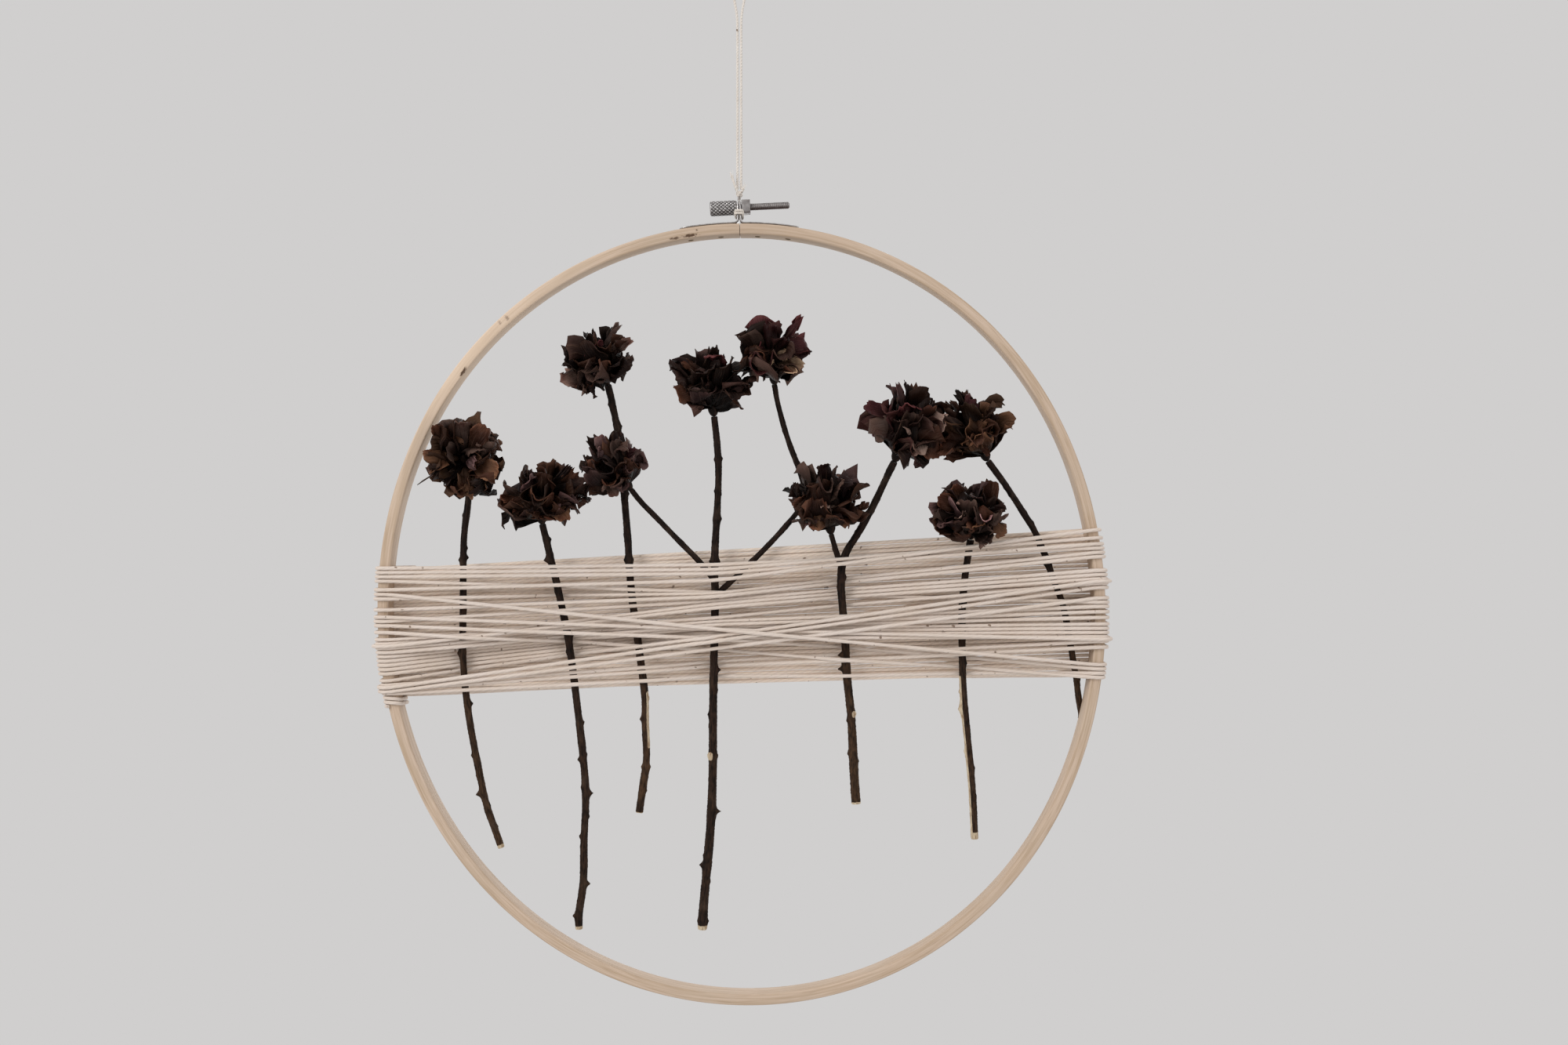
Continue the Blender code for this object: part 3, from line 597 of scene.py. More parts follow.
around = np.linspace(0, math.tau, HEAD_SIDES, endpoint=False)
along = np.linspace(0.25, HEAD_LENGTH - 0.25, 56)
along = np.concatenate(([0, 0.02], along, [HEAD_LENGTH - 0.02, HEAD_LENGTH]))
chamfer = np.minimum(along, HEAD_LENGTH - along).clip(0, HEAD_CHAMFER) - HEAD_CHAMFER
one_way = np.abs(np.sin(KNURLS / 2 * around[None] + along[:, None] * KNURL_LEAD))
other_way = np.abs(np.sin(KNURLS / 2 * around[None] - along[:, None] * KNURL_LEAD))
knurl = np.minimum(one_way, other_way) ** 0.5
worn = (np.minimum(along, HEAD_LENGTH - along) / 0.7).clip(0, 1)[:, None]
radius = HEAD_RADIUS + chamfer[:, None] - KNURL_DEPTH * (1 - knurl) * worn
radius[0] = HEAD_RADIUS - 2 * HEAD_CHAMFER
head = on_screw(along[:, None] - SEAT - HEAD_LENGTH, around[None], radius)
# Painted shade in the knurl's grooves, fading where the knurl is worn at the ends.
head_hollow = ((0.8 - knurl) / 0.35).clip(0, 1) * worn
turns = np.linspace(0, math.tau, SHANK_SIDES, endpoint=False)
along = np.arange(-SEAT - 0.3, SHANK_END - 0.3, THREAD_PITCH / 6)
wave = np.abs(((along[:, None] / THREAD_PITCH - turns[None] / math.tau) % 1) - 0.5) * 2
radius = SHANK_RADIUS - THREAD_DEPTH * (1 - wave)
tip = np.array([0.0, 0.12, 0.28])
along = np.concatenate((along, SHANK_END - 0.28 + tip))
radius = np.concatenate((radius, np.repeat(SHANK_RADIUS - THREAD_DEPTH - tip[:, None], SHANK_SIDES, axis=1)))
shank = on_screw(along[:, None], turns[None], radius)
# Painted shade in the thread's grooves.
shank_hollow = np.concatenate(((1 - wave) * 0.7, np.zeros((len(tip), SHANK_SIDES))))
# Painted shade along the shank's underside, over an even tarnish.
low = ((-np.sin(turns) - 0.05) / 0.75).clip(0, 1)
tarnish = np.concatenate((np.zeros(head_hollow.size), np.tile(0.25 + 0.75 * low, shank.shape[0])))
values = {"hollow": np.concatenate((head_hollow.ravel(), shank_hollow.ravel())), "tarnish": tarnish}
screw = skin("thumb_screw_turned", [head, shank], steel, "screw", values)
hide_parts("thumb_screw")

turns = np.linspace(0, math.tau, NUT_SIDES, endpoint=False) + math.pi / NUT_SIDES
flat = NUT_WIDTH / 2 / np.maximum(np.abs(np.cos(turns)), np.abs(np.sin(turns)))
stations = ((0, 0.55), (0, 0.12), (0.3, 0), (NUT_LENGTH - 0.3, 0), (NUT_LENGTH, 0.12), (NUT_LENGTH, 0.55))
rows = []
for along, cut in stations:
    rows.append(on_screw(SEAT + along, turns, np.minimum(flat - cut * 0.6, NUT_WIDTH * 0.66 - cut)))
for along, reach in ((NUT_LENGTH + 0.02, 2.05), (NUT_LENGTH - 0.15, 1.6)):
    rows.append(on_screw(SEAT + along, turns, reach))
# Painted shade on the nut's top and bottom faces, most on the bottom, over an even tarnish; its front and
# back faces stay lighter.
low = 0.15 + 0.4 * (np.abs(np.sin(turns) - 0.1) / 0.5).clip(0, 1) + 0.3 * (np.sin(turns) < -0.6)
tarnish = np.concatenate([low * share for share in (1, 1, 0.5, 1, 1, 1, 1, 1)])
# Painted shade on the two rows inside the nut's bore.
nut_hollow = np.repeat((0, 0, 0, 0, 0, 0, 0.8, 0.8), NUT_SIDES)
values = {"hollow": nut_hollow, "tarnish": tarnish}
nut = skin("screw_nut_square", [np.stack(rows)], steel, "hanging", values)
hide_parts("screw_nut")


# The yarn.
# One length of cream cotton yarn, about 17 m, wound 28 times round the middle of the hoop under
# tension. The front passes cross at slight angles and the back ones lie over a layer of straight
# strands. The end is tied in tight turns on the left. Twigs lie over some front passes, under others.
YARN = 1.6
YARN_SIDES = 8
YARN_FULL = 0.94
YARN_STEP = 1.5
YARN_PITCH = 1.68
STATIONS = 41
STATION_SPAN = 141.0
MIDDLE_X = -11.0
SLUB_SPACING = 14
SLUB_SIZE = 0.05
START_TUCK = 12
TIE_TURNS = 2
TIE_HEIGHT = -33.5
TIE_REACH = 1.2
SETTLE_TURNS = 400
FREE = 50.0
CLEAR = 0.3
CHAMFER = 0.6
RIM_TURN = 1.25
UNDER_COUNT = 34
UNDER_LEFT = (-31.6, 17.4)
UNDER_RIGHT = (-24.2, 32.8)
UNDER_DEPTH = 4.35
UNDER_SINK = 0.35
UNDER_STEP = 6.0
BACK_SPREAD = 0.38

# For each pass over the front, in the order of winding: its height on the left of the hoop, over
# the middle twig and on the right of the hoop.
FRONT_PASSES = (
    (18.2, 19.6, 26.3),
    (16.5, 17.7, 30.4),
    (14.8, 16.1, 28.0),
    (13.1, 8.6, 4.7),
    (9.6, 13.4, 33.6),
    (6.0, 8.2, 24.6),
    (1.6, 7.0, 22.9),
    (-3.0, 5.3, 17.4),
    (-12.0, 4.0, 15.7),
    (-10.3, -1.6, 12.3),
    (-13.7, -3.0, 3.0),
    (-12.85, 2.6, 14.0),
    (-15.4, -4.2, 0.9),
    (-17.1, -5.2, -1.4),
    (-18.8, -6.2, -4.0),
    (-20.5, -7.1, -5.7),
    (-22.2, -8.1, -7.4),
    (-23.9, -9.3, -9.1),
    (-28.4, -19.4, -10.8),
    (-30.1, -21.2, -13.2),
    (-31.8, -25.3, -23.6),
    (-1.3, -5.9, -9.95),
    (-4.7, -9.5, -21.9),
    (-7.4, -14.6, -25.3),
    (-26.7, -8.7, 13.15),
    (-29.25, -10.4, 10.6),
    (-30.95, -13.5, 6.4),
    (7.8, -5.6, -20.2),
)

# The twigs' routes, from the foot to the flower, and each one's radius at its foot and tip.
TWIGS = {
    "stem_1": (
        (-96.7, -2.5, -93.8), (-100.5, -2.5, -83.2), (-103.0, -2.5, -76.4), (-108.8, -2.5, -47.8),
        (-111.2, -2.5, -31.0), (-112.4, -2.5, -14.9), (-112.0, -2.5, 4.0), (-112.1, -2.5, 18.1),
        (-111.8, -2.5, 32.3), (-110.0, -1.4, 45.8), (-110.0, -0.8, 58.6), (-110.0, -2.0, 60.9),
        (-110.1, -4.6, 61.7),
    ),
    "stem_2": (
        (-65.6, -2.5, -126.4), (-65.9, -2.5, -120.9), (-63.7, -2.5, -108.0), (-63.7, -2.5, -89.9),
        (-62.7, -2.5, -73.1), (-64.0, -2.5, -56.1), (-66.2, -2.5, -38.2), (-69.2, -2.5, -13.7),
        (-71.9, -2.5, -0.1), (-75.1, -2.5, 14.6), (-78.0, -3.5, 27.0), (-79.7, -6.4, 35.8),
    ),
    "stem_3": (
        (-41.5, -2.5, -79.7), (-40.1, -2.5, -69.6), (-38.3, -2.5, -58.5), (-39.2, -2.5, -42.8),
        (-39.0, -2.5, -33.8), (-40.9, -2.5, -19.2), (-44.6, -2.5, 7.7), (-45.8, -2.0, 21.2),
        (-46.0, -1.0, 28.0), (-48.3, 2.0, 50.8), (-50.3, 2.0, 71.6), (-52.4, -2.0, 85.0),
        (-53.9, -4.6, 91.4),
    ),
    "stem_4": (
        (-16.2, -2.5, -126.5), (-15.6, -2.5, -114.4), (-13.1, -2.5, -89.3), (-12.0, -2.5, -67.3),
        (-12.0, -2.5, -40.7), (-11.5, -2.5, -14.2), (-11.0, -2.5, 8.0), (-11.5, -2.5, 20.9),
        (-10.2, -2.5, 41.7), (-9.6, -2.5, 57.4), (-10.2, -3.0, 68.0), (-11.4, -4.8, 78.8),
    ),
    "stem_5": (
        (45.4, -2.5, -76.2), (44.5, -2.5, -63.5), (43.5, -2.5, -40.2), (41.8, -2.5, -27.4),
        (41.1, -2.5, -11.3), (39.8, -2.5, 4.7), (39.1, -2.5, 14.0), (40.2, -2.5, 23.1),
        (47.0, -2.0, 33.3), (53.2, -1.2, 44.8), (57.6, -2.0, 54.5), (60.6, -4.4, 60.8),
    ),
    "stem_6": (
        (92.9, -2.5, -90.3), (92.0, -2.5, -70.6), (90.4, -2.5, -54.1), (88.3, -2.5, -31.9),
        (87.9, -2.5, -18.7), (87.7, -2.5, 2.7), (89.1, -2.5, 15.9), (91.1, -4.2, 29.6),
    ),
    "stem_7": (
        (138.8, 6.8, -49.5), (137.2, 6.6, -40.0), (135.8, 5.4, -33.0), (134.2, 1.0, -25.5),
        (131.3, -2.0, -12.1), (128.5, -2.5, 3.6), (125.0, -2.5, 12.1), (118.7, -2.5, 30.4),
        (111.8, -2.5, 41.4), (105.7, -2.5, 51.0), (98.0, -4.2, 61.0),
    ),
}
TWIG_RADII = {
    "stem_1": (1.45, 1.3),
    "stem_2": (1.55, 1.4),
    "stem_3": (1.55, 1.4),
    "stem_4": (1.9, 1.35),
    "stem_5": (1.8, 1.4),
    "stem_6": (1.5, 1.45),
    "stem_7": (1.3, 1.3),
}
# Stretches, low to high, where a twig lies in front of the front yarn.
TWIG_IN_FRONT = {
    "stem_1": ((-23.4, -13.1),),
    "stem_2": ((5.0, 11.0), (-16.9, -7.5)),
    "stem_3": ((-12.5, -8.4),),
    "stem_4": ((-40.0, -14.4),),
    "stem_5": ((2.8, 17.6), (-16.6, -13.4)),
    "stem_6": ((-40.0, -17.2),),
    "stem_7": (),
}


def rim_x(side, height, inset=0.0):
    """Place of the hoop's outer face at a height, or of a face inset in it, on side 1 or -1."""
    rise = math.asin(height / (RING_RADIUS - OVAL - inset))
    angle = rise if side > 0 else math.pi - rise
    return float(rim_radius(angle) - inset) * math.cos(angle)


def rim_levels(heights):
    """How far each turn stands off the wood, lying in the dips between the turns before it."""
    levels = []
    for i, height in enumerate(heights):
        lifts = [0.0]
        for before, level in zip(heights[:i], levels):
            apart = abs(height - before)
            if apart < YARN_PITCH:
                lifts.append(level + math.sqrt(YARN_PITCH**2 - apart**2))
        levels.append(max(lifts))
    return np.array(levels)


def lie_over(heights, least, most):
    """For each two passes at each station, 1 where the first is outermost, or -1 where the second is."""
    count, stations = heights.shape
    over = np.ones((count, count, stations))
    for i in range(1, count):
        for j in range(i):
            close = np.abs(heights[i] - heights[j]) < YARN_PITCH
            starts = np.flatnonzero(np.diff(close.astype(int))) + 1
            for stretch in np.split(np.arange(stations), starts):
                if close[stretch[0]] and (least[j, stretch] > most[i, stretch]).any():
                    over[i, j, stretch] = -1
    return over


def settle(heights, left, right, least, most):
    """Draw the passes of one layer tight, each lying on those that it crosses."""
    depth = np.linspace(left, right, heights.shape[1], axis=1)
    over = lie_over(heights, least, most)
    for turn in range(SETTLE_TURNS):
        if turn < 0.9 * SETTLE_TURNS:
            depth[:, 1:-1] = (depth[:, :-2] + 2 * depth[:, 1:-1] + depth[:, 2:]) / 4
        for i in range(1, len(depth)):
            apart = heights[:i] - heights[i]
            need = np.sqrt(np.maximum(YARN_PITCH**2 - apart**2, 0))
            lack = need - over[i, :i] * (depth[i] - depth[:i])
            push = over[i, :i] * np.where(need > 0, lack, 0).clip(0) / 2
            depth[:i] -= push
            depth[i] += push.max(axis=0).clip(0) + push.min(axis=0).clip(None, 0)
        depth = depth.clip(least, most)
        depth[:, 0] = left
        depth[:, -1] = right
    return depth


def twig_limits(places, heights):
    """The least and the most depth of each front pass at each station, where it crosses a twig."""
    least = np.full(heights.shape, -FREE)
    most = np.full(heights.shape, FREE)
    for name, route in TWIGS.items():
        x, y, z = np.array(sorted(route, key=lambda point: point[2])).T
        radius = max(TWIG_RADII[name]) + YARN / 2 + CLEAR
        for i, row in enumerate(heights):
            offset = places - np.interp(row, z, x)
            right = int(np.argmax(offset > 0))
            height = float(np.mean(row[right - 1:right + 1]))
            front = -float(np.interp(height, z, y))
            hidden = any(low < height < high for low, high in TWIG_IN_FRONT[name])
            for station in (right - 1, right):
                if hidden:
                    most[i, station] = front - radius
                else:
                    least[i, station] = front + radius
    return least, most


def rim_turn(side, height, depth):
    """Four points that carry the yarn from the front round the hoop's outer face to the back."""
    outer = rim_x(side, height)
    level = depth - seat
    lift = (math.sqrt(2) - 1) * level
    near = outer + side * (lift - 0.25 * CHAMFER)
    far = outer + side * (CLEAR + YARN / 2 + level)
    turn = seat - RIM_TURN + lift
    return [(near, -depth, height), (far, -turn, height), (far, turn, height), (near, depth, height)]


left, _, right = np.array(FRONT_PASSES).T
places = np.linspace(-STATION_SPAN, STATION_SPAN, STATIONS)
front = np.array([np.interp(places, (-STATION_SPAN, MIDDLE_X, STATION_SPAN), row) for row in FRONT_PASSES])
returns = np.append(left[1:], TIE_HEIGHT)
back = np.array([np.interp(places, (-STATION_SPAN, STATION_SPAN), ends) for ends in zip(returns, right)])
seat = RING_DEPTH / 2 + CLEAR + YARN / 2
left_levels = seat + rim_levels(np.append(left, TIE_HEIGHT))
right_levels = seat + rim_levels(right)
front_depth = settle(front, left_levels[:-1], right_levels, *twig_limits(places, front))
back_limits = np.full(back.shape, -FREE), np.full(back.shape, FREE)
back_depth = settle(back, left_levels[1:], right_levels, *back_limits)

first = rim_turn(-1, front[0][0], front_depth[0][0])[::-1]
yarn_route = [(first[0][0] + START_TUCK, first[0][1], first[0][2])] + first
for i in range(len(front)):
    yarn_route += np.stack((places, -front_depth[i], front[i]), axis=1).tolist()
    yarn_route += rim_turn(1, front[i][-1], front_depth[i][-1])
    yarn_route += np.stack((places, back_depth[i], back[i]), axis=1)[::-1].tolist()
    yarn_route += rim_turn(-1, back[i][0], back_depth[i][0])[::-1]
inside = ((0.15, -seat), (TIE_REACH, RIM_TURN - seat), (TIE_REACH, seat - RIM_TURN), (0.15, seat))
for turn in range(TIE_TURNS):
    height = TIE_HEIGHT - turn * YARN_PITCH
    for k, (reach, depth) in enumerate(inside):
        level = height - (k + 1) / 5 * YARN_PITCH
        yarn_route.append((rim_x(-1, level, RING_THICK) + reach, depth, level))
    yarn_route += rim_turn(-1, height - YARN_PITCH, seat)[::-1]

yarn_line, yarn_along = smooth_route(yarn_route, YARN_STEP)
rng = np.random.default_rng(11)
slubs = np.arange(0, yarn_along[-1] + SLUB_SPACING, SLUB_SPACING)
slub = np.interp(yarn_along, slubs, rng.normal(1, SLUB_SIZE, len(slubs)))
yarn_rings = rings(yarn_line, YARN_FULL * YARN / 2 * slub[:, None], YARN_SIDES)
# Behind, the strands press flatter and wider between the hoop's sides.
flat = ((yarn_line[:, 1] - 3.5) / 1.5).clip(0, 1) * ((140 - np.abs(yarn_line[:, 0])) / 12).clip(0, 1)
yarn_rings[..., 2] += (yarn_rings[..., 2] - yarn_line[:, None, 2]) * BACK_SPREAD * flat[:, None]
in_front = yarn_line[:, 1] < 0
cuts = np.flatnonzero(np.diff(in_front.astype(int))) + 1
layers = {True: [], False: []}
for start_ring, end_ring in zip([0, *cuts], [*cuts, len(yarn_line) - 1]):
    layers[bool(in_front[start_ring])].append((int(start_ring), int(end_ring) + 1))

yarn, w, sockets = start("cream_yarn", Roughness=0.95, **FUZZY)
place = w.place()
ply = w.read("ply", "Vector")
around_yarn = w.sum("ARCTAN2", ply.part(2), ply.part(1))
lay = w.sum("SINE", around_yarn * 3.0 + ply.part(0) * 1.75, 0.0) * 0.5 + 0.5
fuzz = w.noise(place, 2400.0, 2.0)
YARN_LIGHT = (0.75, 0.655, 0.585, 1)
YARN_DEEP = (0.70, 0.595, 0.51, 1)
YARN_BACK_BOUNCE_LIGHT = (0.93, 0.79, 0.67, 1)
colour = w.noise(place, 75.0).clip(0.35, 0.7).mix(YARN_LIGHT, YARN_DEEP)
# Painted light: the back passes a little, and the straight strands behind fully, take a paler warm tan that
# stands in for warm bounce light in their shade.
colour = (w.read("hidden") * 0.85).mix(colour, YARN_BACK_BOUNCE_LIGHT)
# Painted shade in the grooves between the plies.
colour = ((1 - lay) ** 3.0 * 0.3).mix(colour, COTTON_GROOVE_SHADE)
colour = (w.noise(place, 400.0, 1.0).clip(0.735, 0.785) * 0.85).mix(colour, SPECK)
w.feed(sockets["Base Color"], colour)
w.feed(sockets["Normal"], w.bump(lay + fuzz * 0.5, 0.0001, 0.7))


def under_layer():
    """The straight strands behind, which close the gaps that the crossing ones leave."""
    strands = []
    edge = seat - UNDER_SINK
    for share in np.linspace(0, 1, UNDER_COUNT):
        ends = []
        for side, heights in ((-1, UNDER_LEFT), (1, UNDER_RIGHT)):
            height = heights[0] + (heights[1] - heights[0]) * share
            outer = rim_x(side, height)
            steps = ((-9.0, UNDER_DEPTH), (-3.5, edge), (-0.4, edge), (0.8, edge - 1.4))
            ends.append([(outer + side * reach, depth, height) for reach, depth in steps])
        strands.append(ends[0][::-1] + ends[1])
    return strands


def wound(along, sides, girth=1.0):
    """For each point of a strand, how far along it the point is and where round it, as a vector."""
    turns = np.linspace(0, math.tau, sides, endpoint=False)
    row = np.broadcast_arrays(along[:, None], girth * np.cos(turns), girth * np.sin(turns))
    return np.stack(row, -1).reshape(-1, 3)


for is_front, name in ((True, "yarn_front"), (False, "yarn_back")):
    tubes = []
    rows = []
    hidden = []
    for start_ring, end_ring in layers[is_front]:
        part = yarn_rings[start_ring:end_ring]
        if len(part) < 2:
            continue
        tubes.append(part)
        rows.append(wound(yarn_along[start_ring:end_ring], YARN_SIDES))
        # A little of the painted warm bounce light on the back passes.
        hidden.append(((part[..., 1] + 1) / 4).clip(0, 0.3).ravel())
    for strand in [] if is_front else under_layer():
        line, along = smooth_route(strand, UNDER_STEP)
        tubes.append(rings(line, YARN_FULL * YARN / 2, YARN_SIDES))
        rows.append(wound(along, YARN_SIDES))
        # The full painted warm bounce light on the straight strands behind.
        hidden.append(np.ones(len(line) * YARN_SIDES))
    values = {"ply": np.concatenate(rows), "hidden": np.concatenate(hidden)}
    winding = skin(name, tubes, yarn, "hanging", values)
    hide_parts("yarn_winding")


# The twigs.
# Seven cut rose twigs with dry dark bark, tucked into the yarn. They have buds and thorns along
# them, a few scars, and bare pale wood where the bark has split off or the knife has cut.
SHOOT_RADIUS = 1.05
SIDE_SHOOTS = {
    "stem_4": (
        (
            (-11.6, -2.5, 13.5), (-16.8, -2.5, 20.4), (-25.3, -2.8, 28.8), (-34.5, -4.0, 38.5),
            (-40.3, -6.4, 44.4), (-44.2, -8.7, 49.6),
        ),
        (
            (-11.0, -2.5, 7.0), (-3.4, -2.0, 14.1), (6.8, -0.5, 23.8), (16.8, 1.8, 34.3),
            (26.0, 3.2, 45.8), (22.8, 3.0, 57.8), (18.1, 1.4, 69.4), (13.8, -2.0, 84.5),
            (12.7, -4.6, 91.6),
        ),
    ),
    "stem_5": (
        (
            (39.3, -2.5, 19.0), (37.5, -3.2, 24.4), (35.3, -5.4, 31.8),
        ),
    ),
}
# For each twig, its bumps: height, side (1 right, -1 left), how far each stands out, its length.
BUMPS = {
    "stem_1": (
        (-36.3, 1, 1.2, 1.5), (-15.9, -1, 1.0, 2.2), (-56.6, -1, 0.8, 1.2), (-71.9, -1, 2.2, 1.8),
        (-85.6, 1, 0.5, 1.0), (22.5, 1, 1.2, 1.2), (21.5, -1, 0.7, 1.5),
    ),
    "stem_2": (
        (21.9, -1, 1.9, 1.7), (29.5, 1, 1.0, 1.4), (-9.0, 1, 1.1, 2.2), (-43.8, 1, 0.8, 1.4),
        (-58.3, -1, 1.1, 1.5), (-72.0, 1, 1.6, 1.6), (-81.2, 1, 0.5, 1.0), (-89.3, -1, 0.8, 1.4),
        (-108.0, 1, 1.2, 1.6), (-121.2, -1, 1.1, 1.4),
    ),
    "stem_3": (
        (-42.2, -1, 0.8, 1.3), (-61.5, -1, 0.5, 1.5), (-61.5, 1, 0.5, 1.5), (-70.7, 1, 0.4, 1.5),
        (21.5, -1, 0.8, 1.5), (21.5, 1, 0.8, 1.8), (48.0, 1, 0.9, 1.8), (75.0, 1, 0.9, 2.6),
        (84.0, -1, 0.7, 1.4),
    ),
    "stem_4": (
        (20.9, -1, 0.9, 2.0), (20.9, 1, 0.9, 2.0), (38.0, 1, 0.6, 1.4), (62.0, 1, 0.6, 1.2),
        (49.0, -1, 0.5, 1.2),
        (-22.5, 1, 1.4, 1.4), (-40.6, -1, 0.6, 1.4), (-57.0, -1, 0.7, 1.8), (-57.0, 1, 0.5, 1.8),
        (-79.1, 1, 2.0, 1.6), (-101.0, -1, 1.4, 1.7), (-123.0, 1, 0.6, 1.2),
    ),
    "stem_5": (
        (-16.5, -1, 2.2, 1.2), (-22.0, -1, 2.4, 1.2), (-40.2, 1, 0.7, 1.6), (-56.0, -1, 0.7, 1.3),
        (14.5, 1, 0.8, 2.0), (40.0, -1, 0.6, 1.4),
    ),
    "stem_6": (
        (-38.0, -1, 1.2, 4.0), (-20.0, 1, 0.6, 1.5), (4.0, 1, 0.5, 1.5), (-62.0, 1, 0.6, 1.4),
        (-55.0, -1, 0.6, 1.4),
    ),
    "stem_7": ((36.0, 1, 0.8, 1.5), (20.0, -1, 0.6, 1.4), (48.0, -1, 0.6, 1.4), (-27.0, 1, 0.7, 1.4)),
}
# Bare patches: lowest and highest point, side, and how much of the way round they reach (0 to 1).
BARE = {
    "stem_3": ((-53.8, -31.3, 1, 0.32),),
    "stem_4": ((-58.6, -55.6, -1, 0.52), (-127.5, -124.9, 0, 1.0)),
    "stem_5": ((-41.5, -39.2, 1, 0.45), (-77.0, -75.4, 0, 1.0)),
    "stem_6": ((-91.0, -25.0, -1, 0.28), (-91.0, -87.6, 0, 1.0)),
    "stem_1": ((-94.6, -92.6, 0, 1.0),),
    "stem_2": ((-127.0, -125.2, 0, 1.0),),
    "stem_7": ((-50.5, -48.4, 0, 1.0),),
}

bark, w, sockets = start("dark_bark", Roughness=0.7, Specular_IOR_Level=0.12)
grain = w.read("grain", "Vector")
crack = w.noise(grain.stretch((0.35, 1.6, 1.6)), 1.0, 4.0)
blotch = w.noise(grain, 0.16, 3.0)
BARK_DARK = (0.005, 0.003, 0.0022, 1)
BARK_BROWN = (0.026, 0.013, 0.009, 1)
BARK_GREY = (0.052, 0.035, 0.026, 1)
WORN_BROWN = (0.080, 0.042, 0.021, 1)
WORN_DARK = (0.017, 0.009, 0.005, 1)
BARE_WOOD = (0.66, 0.56, 0.40, 1)
BARE_DEEP = (0.27, 0.17, 0.10, 1)
colour = crack.clip(0.38, 0.68).mix(BARK_DARK, BARK_BROWN)
worn = (w.read("worn") + (blotch - 0.5) * 1.4).clip(0, 1)
colour = worn.mix(colour, crack.clip(0.34, 0.68).mix(WORN_DARK, WORN_BROWN))
colour = (blotch.clip(0.54, 0.74) * 0.5).mix(colour, BARK_GREY)
bare = (w.read("bare") + (crack - 0.5) * 0.8).clip(0.35, 0.55)
colour = bare.mix(colour, crack.clip(0.35, 0.7).mix(BARE_WOOD, BARE_DEEP))
w.feed(sockets["Base Color"], colour)
w.feed(sockets["Normal"], w.bump(crack, 0.0004, 0.8))

# How far each twig's bark has worn to a paler brown towards its cut end.
WORN = dict(stem_1=0.9, stem_2=0.35, stem_3=0.95, stem_4=0.3, stem_5=1.0, stem_6=0.6, stem_7=1.6)
TWIG_SIDES = 18
TWIG_STEP = 0.5
TWIG_GIRTH = 1.6
SWELL_SPACING = 5
SWELL_SIZE = 0.045
BUD_SPACING = 13
BUD_HEIGHT = 0.5
for number, (name, route) in enumerate(TWIGS.items()):
    rng = np.random.default_rng(40 + number)
    foot, tip = TWIG_RADII[name]
    tubes = []
    grains = []
    bares = []
    worns = []
    for k, part in enumerate((route,) + SIDE_SHOOTS.get(name, ())):
        line, along = smooth_route(part, TWIG_STEP)
        share = along / along[-1]
        radius = (foot + (tip - foot) * share) if k == 0 else SHOOT_RADIUS + 0.15 * (1 - share)
        radius = np.repeat(radius[:, None], TWIG_SIDES, axis=1)
        swells = np.arange(0, along[-1] + SWELL_SPACING, SWELL_SPACING)
        wave = np.interp(along, swells, rng.normal(0, SWELL_SIZE, len(swells)))
        radius *= 1 + wave[:, None]
        round_line = rings(line, 1.0, TWIG_SIDES) - line[:, None]
        sideways = round_line[..., 0]
        spots = np.arange(6, along[-1] - 6, BUD_SPACING)
        spots = spots + rng.uniform(-3, 3, len(spots))
        for m, spot in enumerate(spots):
            toward = (1 if m % 2 else -1) * rng.uniform(0.5, 1.0)
            lump = np.exp(-(((along - spot) / 0.9) ** 2))[:, None] * (sideways * toward).clip(0) ** 3
            radius += BUD_HEIGHT * lump
        for height, side, size, length in BUMPS[name] if k == 0 else ():
            lump = np.exp(-np.abs((line[:, 2] - height) / length * 1.7) ** 1.3)[:, None]
            radius += size * (lump * (sideways * side).clip(0) ** 4)
        radius *= 1 + rng.normal(0, 0.025, radius.shape)
        radius[0] *= 0.9
        radius[-1] *= 0.9
        tubes.append(line[:, None] + round_line * radius[..., None])
        grains.append(wound(along + 300 * k + 900 * number, TWIG_SIDES, TWIG_GIRTH))
        bare_here = np.zeros(radius.shape)
        if k == 0:
            for low, high, side, reach in BARE[name]:
                level = np.minimum(line[:, 2] - low, high - line[:, 2])
                level = (level / 1.2 + 0.5).clip(0, 1)[:, None]
                around = 1.0 if side == 0 else ((sideways * side - 1 + 2 * reach) / 0.3).clip(0, 1)
                bare_here = np.maximum(bare_here, level * around)
            bare_here[0] = 1.0
        bares.append(bare_here.ravel())
        low_down = ((20 - line[:, 2]) / 80).clip(0, 1) * WORN[name]
        worns.append(np.repeat(low_down, TWIG_SIDES))
    values = {"grain": np.concatenate(grains), "bare": np.concatenate(bares), "worn": np.concatenate(worns)}
    twig = skin("twig_" + name[-1], tubes, bark, "hanging", values)
    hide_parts(name)


# The roses.
# Ten double rose heads, dried until their petals are thin, brown and crumpled. Each petal is its
# own curved sheet from the hip, in turns of the golden angle: the outermost spread and hang, and
# the inmost stand up and roll over the heart. Loose ones stick out of some heads.
ROWS = 13
COLUMNS = 11
PETAL_THICK = 0.28
GOLDEN_ANGLE = math.radians(137.508)
INMOST_LEAN = math.radians(6)
OUTMOST_LEAN = math.radians(130)
HEAD_MIDDLE = 0.44
HIP_STEPS = (0, 0.6, 1.8, 3.4, 5.2, 7.5)
HIP_RADII = (1.0, 1.5, 2.0, 2.2, 1.8, 0.6)
HIP_SIDES = 14
